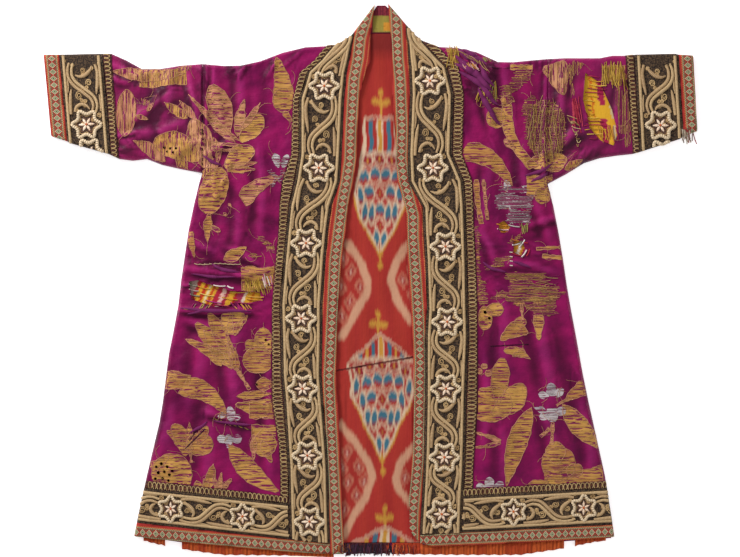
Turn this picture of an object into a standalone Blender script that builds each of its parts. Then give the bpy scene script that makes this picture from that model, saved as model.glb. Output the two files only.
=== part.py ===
"""A child's silk robe with an open front, laid flat and face up on a surface.

X runs across the two sleeves, Y from the hem to the neck, and Z up from the surface.
Sizes and places are in millimetres; each wall is turned to metres as it is made.
The back lies lowest, then the lining, then the two fronts, then the braid and borders.
"""
from collections import namedtuple

import bmesh
import bpy

GARMENT = "chapan_robe"
METRE = 0.001

# Thickness of the layers, and the height at which each lies
SEAM_GAP = 0.3
BACK_WALL = 2.8
UNDER_TRIM = 1.2
LINING_WALL = 1.0
FRONT_WALL = 1.8
TRIM_WALL = 1.2
TAPE_WALL = 1.0
BRAID_WALL = 0.9
BACK_LIFT = UNDER_TRIM + SEAM_GAP
LINING_LOW = BACK_WALL + SEAM_GAP
LINING_TOP = LINING_LOW + LINING_WALL
FRONT_LOW = LINING_TOP + SEAM_GAP
FRONT_TOP = FRONT_LOW + FRONT_WALL

# How far the back stays inside the folded edges, and the width of its raised hem and cuff steps
BACK_INSET = 3.4
STEP_WIDTH = 4.0
BACK_TUCK_Y = 190.0
BACK_TUCK_RUN = 40.0

# A folded edge rolls down to the surface: how far in, and the heights of the wall's two sides
Roll = namedtuple("Roll", "inset low top")
ROLL = (
    Roll(0.0, 0.0, 1.6),
    Roll(1.6, 2.7, 4.7),
    Roll(4.0, FRONT_LOW, FRONT_TOP),
)

ROLL_SLACK = 1.0

# Share of a trim's relief left where it rolls down, and how far below the underarm the roll is full
ROLLED_RELIEF = 0.3
UNDERARM_RUN = 12.0

# Where the upright lines of each front run, from the neck down to the hem
Section = namedtuple("Section", "y ladder rail_out rail_in edge")
LEFT_SECTIONS = (
    Section(330, -50, -36, -23, 5),
    Section(293, -50, -36, -23, 0),
    Section(284, -50, -38, -25, 0),
    Section(262, -68, -57, -29, 0),
    Section(248, -85, -72, -32, -6),
    Section(216, -93, -82, -35, -14),
    Section(150, -95, -82, -38, -16),
    Section(118, -106, -87, -40, -20),
    Section(89, -109, -94, -50, -27),
    Section(60, -110, -97, -54, -29),
    Section(28, -113, -100, -57, -34),
    Section(-30, -118, -105, -61, -39),
    Section(-62, -118, -104, -61, -40),
    Section(-114, -118, -103, -62, -41),
    Section(-146, -118, -100, -60, -39),
    Section(-194, -110, -97, -56, -37),
    Section(-226, -108, -95, -54, -35),
    Section(-273, -108, -94, -53, -34),
    Section(-305, -108, -93, -52, -32),
)
RIGHT_SECTIONS = (
    Section(331, 74, 56, 46, 21),
    Section(302, 74, 56, 46, 23),
    Section(297, 74, 56, 46, 24),
    Section(283, 78, 60, 48, 26),
    Section(265, 94, 77, 49, 26),
    Section(254, 106, 88, 50, 27),
    Section(222, 112, 96, 51, 26),
    Section(150, 110, 94, 48, 31),
    Section(118, 122, 108, 49, 32),
    Section(87, 123, 110, 66, 42),
    Section(56, 124, 111, 67, 44),
    Section(24, 126, 112, 69, 44),
    Section(-34, 128, 113, 71, 48),
    Section(-66, 128, 114, 69, 50),
    Section(-114, 128, 112, 69, 52),
    Section(-146, 128, 111, 69, 52),
    Section(-196, 125, 110, 68, 51),
    Section(-228, 123, 109, 67, 49),
    Section(-264, 123, 107, 65, 46),
    Section(-296, 123, 106, 63, 47),
)

# Side edge of each front: the armhole seam, then the folded edge down to the hem
Edge = namedtuple("Edge", "y x")
LEFT_SIDE = (
    Edge(128, -201), Edge(108, -208), Edge(60, -218), Edge(0, -227), Edge(-36, -231),
    Edge(-90, -242), Edge(-162, -251), Edge(-234, -268), Edge(-306, -283),
)
RIGHT_SIDE = (
    Edge(115, 212), Edge(105, 216), Edge(54, 226), Edge(18, 232), Edge(-18, 237),
    Edge(-54, 244), Edge(-126, 257), Edge(-162, 265), Edge(-234, 281), Edge(-306, 292),
)

# Shoulder line of each front, its hem line, and the hem of the back
Place = namedtuple("Place", "x y")
LEFT_SHOULDER = (
    Place(-201, 259), Place(-167, 256), Place(-139, 259), Place(-119, 269), Place(-100, 274),
    Place(-81, 279), Place(-43, 281), Place(-35, 284), Place(-29, 288), Place(-23, 293),
    Place(5, 330),
)
RIGHT_SHOULDER = (
    Place(21, 331), Place(46, 302), Place(49, 297), Place(64, 283), Place(71, 280),
    Place(113, 278), Place(131, 272), Place(141, 264), Place(160, 260), Place(189, 263),
    Place(212, 265),
)
LEFT_HEM = (
    Place(-287, -306), Place(-256, -310), Place(-205, -315), Place(-145, -321), Place(-89, -326),
    Place(-32, -328),
)
RIGHT_HEM = (
    Place(47, -298), Place(52, -307), Place(61, -316), Place(71, -319), Place(125, -317),
    Place(182, -314), Place(239, -311), Place(295, -307),
)
BACK_SHOULDER = (
    Place(-201, 253), Place(-167, 250), Place(-139, 253), Place(-100, 267), Place(-60, 275),
    Place(-35, 276), Place(60, 274), Place(110, 270), Place(141, 257), Place(160, 253),
    Place(189, 256), Place(212, 258),
)
BACK_HEM = (
    Place(-287, -306), Place(-256, -312), Place(-205, -317), Place(-145, -323), Place(-89, -328),
    Place(-45, -330), Place(-32, -330), Place(-20, -325), Place(40, -322), Place(71, -321),
    Place(125, -319), Place(182, -316), Place(239, -313), Place(295, -309),
)

# Lines of the hem trim at the side edge and at the front border, both ends of a straight run
Run = namedtuple("Run", "x0 y0 x1 y1")
LEFT_HEM_LINES = {
    "ladder": Run(-266, -240, -97, -259),
    "rail_up": Run(-267, -253, -94, -271),
    "rail_low": Run(-277, -287, -59, -311),
}
RIGHT_HEM_LINES = {
    "ladder": Run(285, -240, 111, -250),
    "rail_up": Run(285, -252, 111, -262),
    "rail_low": Run(290, -289, 83, -300),
}

# Each side in one table: its sections and lines, its underarm, and the middles of its stars
Side = namedtuple("Side", "name inward sections edge shoulder hem hem_lines underarm stars hem_stars")
SIDES = (
    Side("left", 1, LEFT_SECTIONS, LEFT_SIDE, LEFT_SHOULDER, LEFT_HEM, LEFT_HEM_LINES,
         122, (232, 134, 44, -46, -130, -210, -289), (-239, -153)),
    Side("right", -1, RIGHT_SECTIONS, RIGHT_SIDE, RIGHT_SHOULDER, RIGHT_HEM, RIGHT_HEM_LINES,
         110, (238, 134, 40, -50, -130, -212, -280), (255, 171)),
)

# Lines across each sleeve, from its upper fold to its lower fold, cuff first
Station = namedtuple("Station", "name top_x top_y low_x low_y")
LEFT_STATIONS = (
    Station("cuff", -391, 270, -382, 172),
    Station("tape", -373, 270, -363, 166),
    Station("rail_out", -369, 270, -360, 164),
    Station("rail_in", -324, 271, -314, 151),
    Station("ladder", -310, 271, -301, 145),
    Station("fold", -292, 263, -285, 143),
    Station("dip", -274, 253, -268, 145),
    Station("upper", -253, 253, -250, 138),
    Station("top", -228, 257, -228, 133),
    Station("armhole", -201.4, 259, -201.4, 128),
)
RIGHT_STATIONS = (
    Station("cuff", 386, 269, 391, 178),
    Station("tape", 369, 270, 375, 172),
    Station("rail_out", 365, 271, 371, 169),
    Station("rail_in", 319, 270, 325, 154),
    Station("ladder", 305, 269, 314, 151),
    Station("fold", 290, 269, 295, 149),
    Station("dip", 275, 266, 275, 146),
    Station("upper", 254, 266, 256, 140),
    Station("top", 233, 266, 235, 127),
    Station("armhole", 212.4, 265, 212.4, 115),
)
CUFF_STAR_Y = 186

# The largest folds: a soft ridge from one point to another, its half width and height
Fold = namedtuple("Fold", "x0 y0 x1 y1 width height")
BODY_FOLDS = {
    "left": (
        Fold(-232, -36, -150, -40, 9, 3.4),
        Fold(-215, 8, -140, -2, 10, 2.6),
        Fold(-215, 40, -170, 10, 12, 2.2),
        Fold(-196, 128, -150, 105, 13, 2.8),
        Fold(-185, 225, -150, 150, 14, 2.0),
        Fold(-150, -60, -160, -200, 20, 1.8),
        Fold(-215, -90, -235, -230, 18, 1.5),
        Fold(-130, 240, -125, 130, 14, 1.6),
    ),
    "right": (
        Fold(132, 262, 150, 215, 9, 4.2),
        Fold(146, 258, 160, 225, 8, 3.4),
        Fold(150, 60, 200, 40, 10, 2.4),
        Fold(142, 30, 190, 12, 10, 2.2),
        Fold(208, 105, 165, 90, 13, 2.4),
        Fold(196, 200, 180, 110, 14, 2.0),
        Fold(175, -20, 205, -180, 20, 1.8),
        Fold(225, -40, 250, -210, 18, 1.5),
    ),
}
SLEEVE_FOLDS = {
    "left": (
        Fold(-300, 252, -262, 232, 9, 3.6),
        Fold(-262, 245, -225, 180, 12, 2.6),
        Fold(-290, 205, -245, 190, 12, 2.0),
        Fold(-250, 150, -210, 170, 10, 2.8),
        Fold(-215, 240, -210, 150, 7, 2.4),
    ),
    "right": (
        Fold(236, 255, 226, 150, 9, 3.0),
        Fold(250, 235, 246, 160, 8, 2.6),
        Fold(302, 235, 306, 175, 9, 3.0),
        Fold(270, 152, 240, 135, 10, 2.4),
    ),
}
FOLD_FADE = 12.0
FOLD_MARGIN = 6.0
HEM_CLEAR = 5.0

# Torn openings right through the outer cloth, outlined point by point
RIPS = {
    "front_left": (
        (Place(-217, -2), Place(-206, 0), Place(-195, -5), Place(-179, -8), Place(-168, -13),
         Place(-150, -14), Place(-132, -15), Place(-130, -24), Place(-147, -28), Place(-160, -26),
         Place(-175, -32), Place(-187, -32), Place(-199, -28), Place(-214, -23)),
    ),
    "front_right": (
        (Place(153, 68), Place(160, 71), Place(167, 63), Place(161, 56), Place(154, 59)),
        (Place(171, 46), Place(182, 47), Place(185, 37), Place(180, 29), Place(171, 33)),
    ),
    "sleeve_right_front": (
        (Place(257, 248), Place(254, 216), Place(262, 182), Place(275, 167), Place(291, 161),
         Place(296, 176), Place(289, 204), Place(275, 236)),
    ),
}
RIP_CUTTER_DEPTH = 30.0
Patch = namedtuple("Patch", "x0 x1 y0 y1")
PATCHES = {
    "interlining_left": Patch(-221, -124, -40, 8),
    "interlining_right": Patch(147, 191, 23, 77),
    "interlining_sleeve": Patch(247, 304, 154, 255),
}

# Couched cords and stars on a border: heights above its wall, across the strip and along it
RAIL_HEIGHT = 1.4
STAR_STEP = 8.0
STAR_PULL = 2.4
FIELD = (0.14, 0.32, 0.5, 0.68, 0.86)
STAR_ROWS = (
    (0.3, 1.5, 1.7, 1.5, 0.3),
    (1.7, 0.1, 0.1, 0.1, 1.7),
    (1.7, 0.1, 1.0, 0.1, 1.7),
    (1.7, 0.1, 0.1, 0.1, 1.7),
    (0.3, 1.5, 1.7, 1.5, 0.3),
)
SCROLL_ROWS = (
    (0.2, 0.3, 0.5, 1.5, 1.2),
    (0.7, 1.3, 1.5, 0.5, 0.2),
    (1.5, 1.2, 0.3, 0.8, 0.9),
)
BRAID_HEIGHT = 0.5
RAIL_MARGIN = 3.5
LEAST_STEP = 1.5

# Lines of a tape and of a braid: share across it and height above its wall
TAPE_LINES = ((0.0, 0.0), (0.3, 0.5), (0.7, 0.6), (1.0, 0.2))
BRAID_LINES = ((0.0, 0.0), (0.5, BRAID_HEIGHT), (1.0, 0.1))

# A Y among the hem trims, where their lines are first looked up, and how far a braid's kinks stay off it
HEM_TRIM_Y = -270.0
KINK_CLEAR = 10.0

# Where the back of a cuff's border ends, as shares from the cuff to its tape and past its inner rail
CUFF_BACK_START = 0.1
CUFF_BACK_END = 0.85

# An inset that stands for any place well inside the rolled edges
FAR_IN = 50.0

# Gathered facing that hangs below the hem, in lengths with torn gaps between them
Facing = namedtuple("Facing", "name x0 x1 gathers")
FACINGS = (
    Facing("hem_facing_left_end", -272, -246, 3),
    Facing("hem_facing_left", -226, -44, 14),
    Facing("hem_facing_middle", -29, 22, 4),
    Facing("hem_facing_right", 26, 232, 16),
    Facing("hem_facing_right_end", 245, 282, 4),
)
FACING_TOP = (
    Place(-287, -299), Place(-205, -309), Place(-89, -317), Place(-56, -315), Place(74, -315),
    Place(182, -309), Place(295, -301),
)
FACING_EDGE = (
    Place(-287, -309), Place(-256, -317), Place(-220, -324), Place(-177, -330), Place(-73, -331),
    Place(-37, -328), Place(22, -329), Place(107, -330), Place(179, -330), Place(227, -323),
    Place(261, -316), Place(295, -310),
)
GATHER_HEIGHT = 1.3
FACING_DROOP = 1.6
FACING_STEP = 1.2

# Ikat lining of the back, which shows between the fronts and is pieced along a slanted seam
LINING_MARGIN = 22.0
NECK_MARGIN = 11.0
NECK_Y = 235.0
NECK_RUN = 35.0
LINING_SEAM = Run(-60, -112, 75, -88)
LINING_HEAD = 295.0
LINING_HEM = -314.6
OPENING_X = 6.0

# Back of the collar and its facing, half hidden under the fronts at the neck
Band = namedtuple("Band", "y left right")
COLLAR_ROWS = (
    Band(329, 8, 18), Band(323, 4, 24), Band(308, -8, 36), Band(293, -20, 48), Band(284, -30, 55),
    Band(277, -34, 58),
)
NECK_FACING_ROWS = (
    Band(327, 8, 18), Band(322, 4, 24), Band(308, -5, 33), Band(296, -14, 42),
)

# Row and column counts of the grids, and the spacing of the rows down a front
FRONT_COLUMNS = 6
FRONT_STEP = 30.0
BACK_ARMHOLE_ROWS = 3
BACK_SKIRT_ROWS = 5
BACK_COLUMNS = 10
SLEEVE_ROWS = 5
HEM_COLUMNS = 14
LINING_ROWS = 8

# The lowest and highest Y at which the upright lines bend, and the Ys between which they end
LAST_KINK_Y = -240.0
NECK_KINK_Y = 300.0
HEAD_SEARCH = (240.0, 335.0)

# How far above the hem the back steps up over its border, and the rows of that border
STEP_Y = 62.0
UNDER_BORDER = (54.0, 30.0, 4.0)

# A wall is made from rows of these: a place, the wall's two heights, and a shift of the outside
Point = namedtuple("Point", "x y low top dx dy", defaults=(0.0, 0.0))

Finish = namedtuple("Finish", "colour roughness metallic")
FINISHES = {
    "magenta_silk": Finish("7F1560", 0.45, 0.0),
    "magenta_silk_back": Finish("6E1254", 0.5, 0.0),
    "ikat_lining": Finish("AE3428", 0.6, 0.0),
    "scroll_border": Finish("8C7048", 0.6, 0.1),
    "ladder_braid": Finish("5A4430", 0.65, 0.1),
    "woven_tape": Finish("B4553C", 0.7, 0.0),
    "orange_facing": Finish("C2502A", 0.7, 0.0),
    "striped_interlining": Finish("D8A030", 0.6, 0.0),
}


def linear(channel):
    """One sRGB channel from 0 to 1, as a linear value."""
    if channel <= 0.04045:
        return channel / 12.92
    return ((channel + 0.055) / 1.055) ** 2.4


def make_material(name, finish):
    """A plain principled material for one kind of cloth."""
    channels = [linear(int(finish.colour[i:i + 2], 16) / 255) for i in (0, 2, 4)]
    material = bpy.data.materials.new(name)
    material.use_nodes = True
    shader = material.node_tree.nodes["Principled BSDF"]
    shader.inputs["Base Color"].default_value = (*channels, 1.0)
    shader.inputs["Roughness"].default_value = finish.roughness
    shader.inputs["Metallic"].default_value = finish.metallic
    material.diffuse_color = (*channels, 1.0)
    return material


def mix(a, b, share):
    """The value a given share of the way from a to b."""
    return a + (b - a) * share


def read(table, key, value, at):
    """A table's value at one place, straight between its rows and level past its ends."""
    rows = sorted(table, key=lambda row: getattr(row, key))
    if at <= getattr(rows[0], key):
        return getattr(rows[0], value)
    for low, high in zip(rows, rows[1:]):
        if at <= getattr(high, key):
            share = (at - getattr(low, key)) / (getattr(high, key) - getattr(low, key))
            return mix(getattr(low, value), getattr(high, value), share)
    return getattr(rows[-1], value)


def on_run(run, x):
    """Height in Y of a straight run at one X, carried on past its ends."""
    return mix(run.y0, run.y1, (x - run.x0) / (run.x1 - run.x0))


def shares(count):
    """Even shares from 0 to 1, one more of them than the count of steps."""
    return [step / count for step in range(count + 1)]


def fold_height(folds, x, y):
    """Rise of the cloth at one place over all the folds near it."""
    rise = 0.0
    for fold in folds:
        length = ((fold.x1 - fold.x0) ** 2 + (fold.y1 - fold.y0) ** 2) ** 0.5
        ux = (fold.x1 - fold.x0) / length
        uy = (fold.y1 - fold.y0) / length
        along = (x - fold.x0) * ux + (y - fold.y0) * uy
        aside = abs((x - fold.x0) * uy - (y - fold.y0) * ux)
        past = max(0.0, -along, along - length)
        reach = (aside ** 2 + past ** 2) ** 0.5 / fold.width
        if reach < 2.0:
            rise += fold.height * (1.0 - reach / 2.0) ** 2 * (1.0 + reach)
    return rise


def wall(name, rows, finish, collection, plain=False):
    """A closed cloth wall: a grid moved to its inside, and a copy of it moved to its outside.

    A plain inside loses the points of its flat stretch, because nothing there needs them.
    """
    across = len(rows[0]) - 1
    along = len(rows) - 1
    mesh = bmesh.new()
    bmesh.ops.create_grid(mesh, x_segments=across, y_segments=along, size=0.5)
    copied = bmesh.ops.extrude_face_region(mesh, geom=mesh.faces[:])["geom"]
    outside = {item for item in copied if isinstance(item, bmesh.types.BMVert)}
    spare = []
    for vertex in mesh.verts:
        column = round((vertex.co.x + 0.5) * across)
        row = round((0.5 - vertex.co.y) * along)
        point = rows[row][column]
        if vertex in outside:
            vertex.co = ((point.x + point.dx) * METRE, (point.y + point.dy) * METRE, point.top * METRE)
            continue
        vertex.co = (point.x * METRE, point.y * METRE, point.low * METRE)
        if plain and 0 < row < along and 0 < column < across:
            near = [rows[row + i][column + j].low for i in (-1, 0, 1) for j in (-1, 0, 1)]
            if max(near) - min(near) < 1e-6:
                spare.append(vertex)
    if spare:
        bmesh.ops.dissolve_verts(mesh, verts=spare)
    bmesh.ops.recalc_face_normals(mesh, faces=mesh.faces[:])
    return add_object(name, mesh, finish, collection)


def add_object(name, mesh, finish, collection):
    """An object made from a finished mesh, in its collection, with its material if it has one."""
    data = bpy.data.meshes.new(name)
    mesh.to_mesh(data)
    mesh.free()
    if finish:
        data.materials.append(bpy.data.materials[finish])
    made = bpy.data.objects.new(name, data)
    collection.objects.link(made)
    return made


def flat_point(x, y, low, thickness, rise=0.0):
    """A point of a wall that lies level."""
    return Point(x, y, low, low + thickness + rise)


def rolled(inset, share=1.0):
    """The wall's two heights at one distance inside a folded edge, eased out as share nears 0."""
    low = mix(FRONT_LOW, read(ROLL, "inset", "low", inset), share)
    top = mix(FRONT_TOP, read(ROLL, "inset", "top", inset), share)
    return low, top


def over(height):
    """Height of the inside of a trim over cloth, a little looser where the cloth rolls down."""
    slack = 0.0 if height > FRONT_TOP - 1e-6 else ROLL_SLACK
    return height + SEAM_GAP + slack


# Places on a front

def column_x(side, name, y):
    """X of one upright line of a front, at one Y."""
    if name == "side":
        return read(side.edge, "y", "x", y)
    return read(side.sections, "y", name, y)


def hem_y(side, x):
    """Y of the hem of a front, at one X."""
    return read(side.hem, "x", "y", x)


def column_top(line, place_x):
    """Y where an upright line, given by a function of Y, runs into the shoulder and neck line."""
    under, above = HEAD_SEARCH
    for _ in range(30):
        y = mix(under, above, 0.5)
        if y < read(line, "x", "y", place_x(y)):
            under = y
        else:
            above = y
    return under


def head_line(side):
    """The head of a front as its wall has it, straight between the ends of its upright lines."""
    heads = []
    for place_x, _ in front_columns(side):
        top = column_top(side.shoulder, place_x)
        heads.append(Place(place_x(top), top))
    return heads


def side_share(side, y):
    """How far the side edge is rolled: fully below the underarm, not at all along the armhole."""
    return min(1.0, max(0.0, (side.underarm - y) / UNDERARM_RUN))


def line_between(side, first, second, share, shift=0.0):
    """An upright line a share of the way between two named ones, moved towards the opening."""
    def place_x(y):
        middle = mix(column_x(side, first, y), column_x(side, second, y), share)
        return middle + side.inward * shift
    return place_x


def front_columns(side):
    """The upright lines of a front as (function of Y, inset from the side edge)."""
    columns = []
    for roll in ROLL[:-1]:
        columns.append((line_between(side, "side", "ladder", 0.0, roll.inset), roll.inset))
    inner = ROLL[-1].inset
    for share in shares(FRONT_COLUMNS)[:-1]:
        columns.append((line_between(side, "side", "ladder", share, inner * (1.0 - share)), inner))
    for name in ("ladder", "rail_out", "rail_in"):
        columns.append((line_between(side, name, name, 0.0), FAR_IN))
    columns.append((line_between(side, "rail_in", "edge", 0.5), FAR_IN))
    columns.append((line_between(side, "edge", "edge", 0.0), FAR_IN))
    return columns


def column_foot(side, place_x):
    """Y where an upright line meets the hem."""
    y = side.hem[0].y
    for _ in range(4):
        y = hem_y(side, place_x(y))
    return y


def panel_levels(side, place_x, top, foot):
    """Ys down a front: its head, the kinks of its lines with steps between, and the level hem."""
    trim = on_run(side.hem_lines["ladder"], place_x(side.hem_lines["ladder"].y0)) + HEM_CLEAR
    ys = strip_head(side, top)
    kinks = [section.y for section in side.sections if LAST_KINK_Y < section.y < ys[-1]]
    kinks = sorted(kinks + [side.edge[0].y], reverse=True)
    for kink in kinks:
        last = ys[-1]
        steps = max(1, round((last - kink) / FRONT_STEP))
        ys += [mix(last, kink, share) for share in shares(steps)[1:]]
    ys += [trim, mix(trim, foot, 0.5), foot]
    return ys


def body_rise(side, x, y, top, inset):
    """Rise of the folds on a front, none under its trim nor at its rolled edges."""
    clear = side.inward * (column_x(side, "ladder", y) - x)
    fade = min(1.0, max(0.0, (clear - FOLD_MARGIN) / FOLD_FADE))
    fade *= min(1.0, max(0.0, (inset - ROLL[1].inset) / ROLL[1].inset))
    fade *= min(1.0, max(0.0, (top - y - ROLL[-1].inset) / FOLD_FADE))
    return fade * fold_height(BODY_FOLDS[side.name], x, y)


def make_front(side, collection):
    """One front of the robe, from its rolled side and shoulder to its free inner edge."""
    columns = []
    for place_x, inset in front_columns(side):
        top = column_top(side.shoulder, place_x)
        foot = column_foot(side, place_x)
        ys = panel_levels(side, place_x, top, foot)
        points = []
        for row, y in enumerate(ys):
            x = place_x(y)
            by_side = rolled(inset, side_share(side, y))
            by_top = rolled(top - y)
            rise = body_rise(side, x, y, top, inset) if row < len(ys) - 3 else 0.0
            low = min(by_side[0], by_top[0]) + rise
            points.append(Point(x, y, low, min(by_side[1], by_top[1]) + rise))
        columns.append(points)
    rows = [[column[row] for column in columns] for row in range(len(columns[0]))]
    return wall("front_" + side.name, rows, "magenta_silk", collection)


# Back of the body

def back_edge(side, y):
    """X of the back's side edge, tucked inside the rolled edge of the front from mid armhole down."""
    tucked = min(1.0, max(0.0, (BACK_TUCK_Y - y) / BACK_TUCK_RUN))
    return column_x(side, "side", y) + side.inward * BACK_INSET * tucked


def make_back(collection):
    """The back, level on top, with an underside that steps up over its own hem border."""
    left, right = SIDES
    rows = []
    levels = [("armhole", share) for share in shares(BACK_ARMHOLE_ROWS)]
    levels += [("skirt", share) for share in shares(BACK_SKIRT_ROWS)[1:]]
    levels += [("border", STEP_Y - STEP_WIDTH), ("border", STEP_Y / 2), ("border", 0.0)]
    for kind, value in levels:
        row = []
        for share in shares(BACK_COLUMNS):
            top = read(BACK_SHOULDER, "x", "y", mix(left.edge[0].x, right.edge[0].x, share))
            underarm = mix(left.edge[0].y, right.edge[0].y, share)
            hem = read(BACK_HEM, "x", "y", mix(left.edge[-1].x, right.edge[-1].x, share))
            y = hem + value
            if kind == "armhole":
                y = mix(top, underarm, value)
            if kind == "skirt":
                y = mix(underarm, hem + STEP_Y, value)
            x = mix(back_edge(left, y), back_edge(right, y), share)
            low = BACK_LIFT if kind == "border" else 0.0
            row.append(Point(x, y, low, BACK_WALL))
        rows.append(row)
    return wall("back", rows, "magenta_silk_back", collection)


def make_hem_border_back(collection):
    """The border sewn round the outside of the back's hem, which lies on the surface."""
    left, right = SIDES
    rows = []
    for above in UNDER_BORDER:
        row = []
        for share in shares(BACK_COLUMNS):
            hem = read(BACK_HEM, "x", "y", mix(left.edge[-1].x, right.edge[-1].x, share))
            y = hem + above
            x = mix(back_edge(left, y), back_edge(right, y), share)
            row.append(Point(x, y, 0.0, UNDER_TRIM))
        rows.append(row)
    return wall("hem_border_back", rows, "scroll_border", collection)


def make_rows_piece(name, bands, low, thickness, finish, collection):
    """A level piece between a left and a right edge, given row by row."""
    rows = []
    for band in bands:
        rows.append([flat_point(mix(band.left, band.right, share), band.y, low, thickness)
                     for share in shares(2)])
    return wall(name, rows, finish, collection)


# Lining, facing and interlining

def lining_row(y_of_x, rise=0.0):
    """A row of lining points between the fronts and a little under them."""
    left, right = SIDES
    guess = y_of_x(OPENING_X)
    near_neck = min(1.0, max(0.0, (guess - NECK_Y) / NECK_RUN))
    margin = mix(LINING_MARGIN, NECK_MARGIN, near_neck)
    x0 = column_x(left, "edge", guess) - margin
    x1 = column_x(right, "edge", guess) + margin
    points = []
    for share in shares(4):
        x = mix(x0, x1, share)
        points.append(flat_point(x, y_of_x(x), LINING_LOW, LINING_WALL, rise))
    return points


def make_linings(collection):
    """The two pieces of the back lining, which meet along the slanted seam."""
    def upper_row(share):
        return lambda x: mix(LINING_HEAD, on_run(LINING_SEAM, x) + SEAM_GAP, share)

    def lower_row(share):
        return lambda x: mix(on_run(LINING_SEAM, x), LINING_HEM, share)

    upper = [lining_row(upper_row(share)) for share in shares(LINING_ROWS)]
    lower = [lining_row(lower_row(share)) for share in shares(LINING_ROWS // 2)]
    wall("lining_upper", upper, "ikat_lining", collection)
    wall("lining_lower", lower, "ikat_lining", collection)


def make_facing(facing, collection):
    """A length of gathered facing: level under the hem, then pleated where it hangs past it."""
    steps = facing.gathers * 2
    rows = [[], [], [], []]
    for step, share in enumerate(shares(steps)):
        x = mix(facing.x0, facing.x1, share)
        hem = read(BACK_HEM, "x", "y", x)
        edge = read(FACING_EDGE, "x", "y", x)
        pleat = GATHER_HEIGHT if step % 2 else 0.0
        rows[0].append(flat_point(x, read(FACING_TOP, "x", "y", x), LINING_LOW, LINING_WALL))
        rows[1].append(flat_point(x, hem + FACING_STEP, LINING_LOW, LINING_WALL))
        rows[2].append(flat_point(x, hem - FACING_STEP, LINING_LOW, LINING_WALL, pleat))
        lowest = min(edge + pleat, hem - 2 * FACING_STEP)
        rows[3].append(flat_point(x, lowest, FACING_DROOP, LINING_WALL, pleat))
    return wall(facing.name, rows, "orange_facing", collection)


def make_patch(name, patch, collection):
    """Interlining that shows through a tear."""
    rows = []
    for down in shares(2):
        y = mix(patch.y1, patch.y0, down)
        rows.append([flat_point(mix(patch.x0, patch.x1, share), y, LINING_LOW, LINING_WALL)
                     for share in shares(2)])
    return wall(name, rows, "striped_interlining", collection)


# Trim

def star_levels(stars, head, foot):
    """Places along a strip as (place, heights across it, star row), stars and scrolls in turn."""
    direction = 1.0 if foot > head else -1.0
    levels = []
    last = head
    for star in stars:
        first = star - direction * 2 * STAR_STEP
        for count, heights in enumerate(SCROLL_ROWS, start=1):
            levels.append((mix(last, first, count / (len(SCROLL_ROWS) + 1)), heights, None))
        for number, heights in enumerate(STAR_ROWS):
            levels.append((first + direction * number * STAR_STEP, heights, number - 2))
        last = first + direction * 4 * STAR_STEP
    return levels


def trim_columns():
    """Shares across a border strip, with the fixed height of the two rails and the two rims."""
    columns = [("rim_out", 0.0), ("rail", 0.0)]
    columns += [("field", share) for share in FIELD]
    columns += [("rail", 1.0), ("rim_in", 1.0)]
    return columns


def trim_point(place, kind, share, heights, star_row, base, column, across_sign, along_sign):
    """One point of a border strip, with the star's ring drawn round by shifting its outside."""
    x, y = place
    low = over(base[1])
    top = low + TRIM_WALL
    dx = 0.0
    dy = 0.0
    if kind == "rail":
        top += RAIL_HEIGHT * base[2]
    elif kind == "field":
        top += heights[column] * base[2]
        if star_row is not None and abs(star_row) == 2 and column in (1, 3):
            dy = along_sign * STAR_PULL * (1 if star_row < 0 else -1)
        if star_row is not None and abs(star_row) == 1 and column in (0, 4):
            dx = across_sign * STAR_PULL * (1 if column == 0 else -1)
    return Point(x, y, low, top, dx, dy)


def strip_head(side, top):
    """Ys of the head of every strip down a front, from its rolled end to the first star."""
    first = side.stars[0] + 2 * STAR_STEP
    head = top - ROLL[-1].inset
    kinks = [section.y for section in side.sections if first < section.y < NECK_KINK_Y]
    ys = [top - roll.inset for roll in ROLL]
    ys += [min(kink, head - number * LEAST_STEP) for number, kink in enumerate(kinks, start=1)]
    return ys + [first]


def strip_levels(side, top, last, foot):
    """Ys down a plain strip of a front, which share the kinks of the sections."""
    first = side.stars[0] + 2 * STAR_STEP
    body = [section.y for section in side.sections if last < section.y < first]
    return strip_head(side, top) + body + [foot]


def make_front_strip(name, side, lines, last, foot_of, thickness, finish, collection):
    """A narrow strip down one front, on lines given with the height of each."""
    columns = []
    heads = head_line(side)
    for place_x, rise in lines:
        top = column_top(heads, place_x)
        points = []
        for y in strip_levels(side, top, last, foot_of(place_x)):
            low = over(rolled(top - y)[1])
            points.append(Point(place_x(y), y, low, low + thickness + rise))
        columns.append(points)
    rows = [[column[row] for column in columns] for row in range(len(columns[0]))]
    return wall(name, rows, finish, collection, plain=True)


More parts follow.
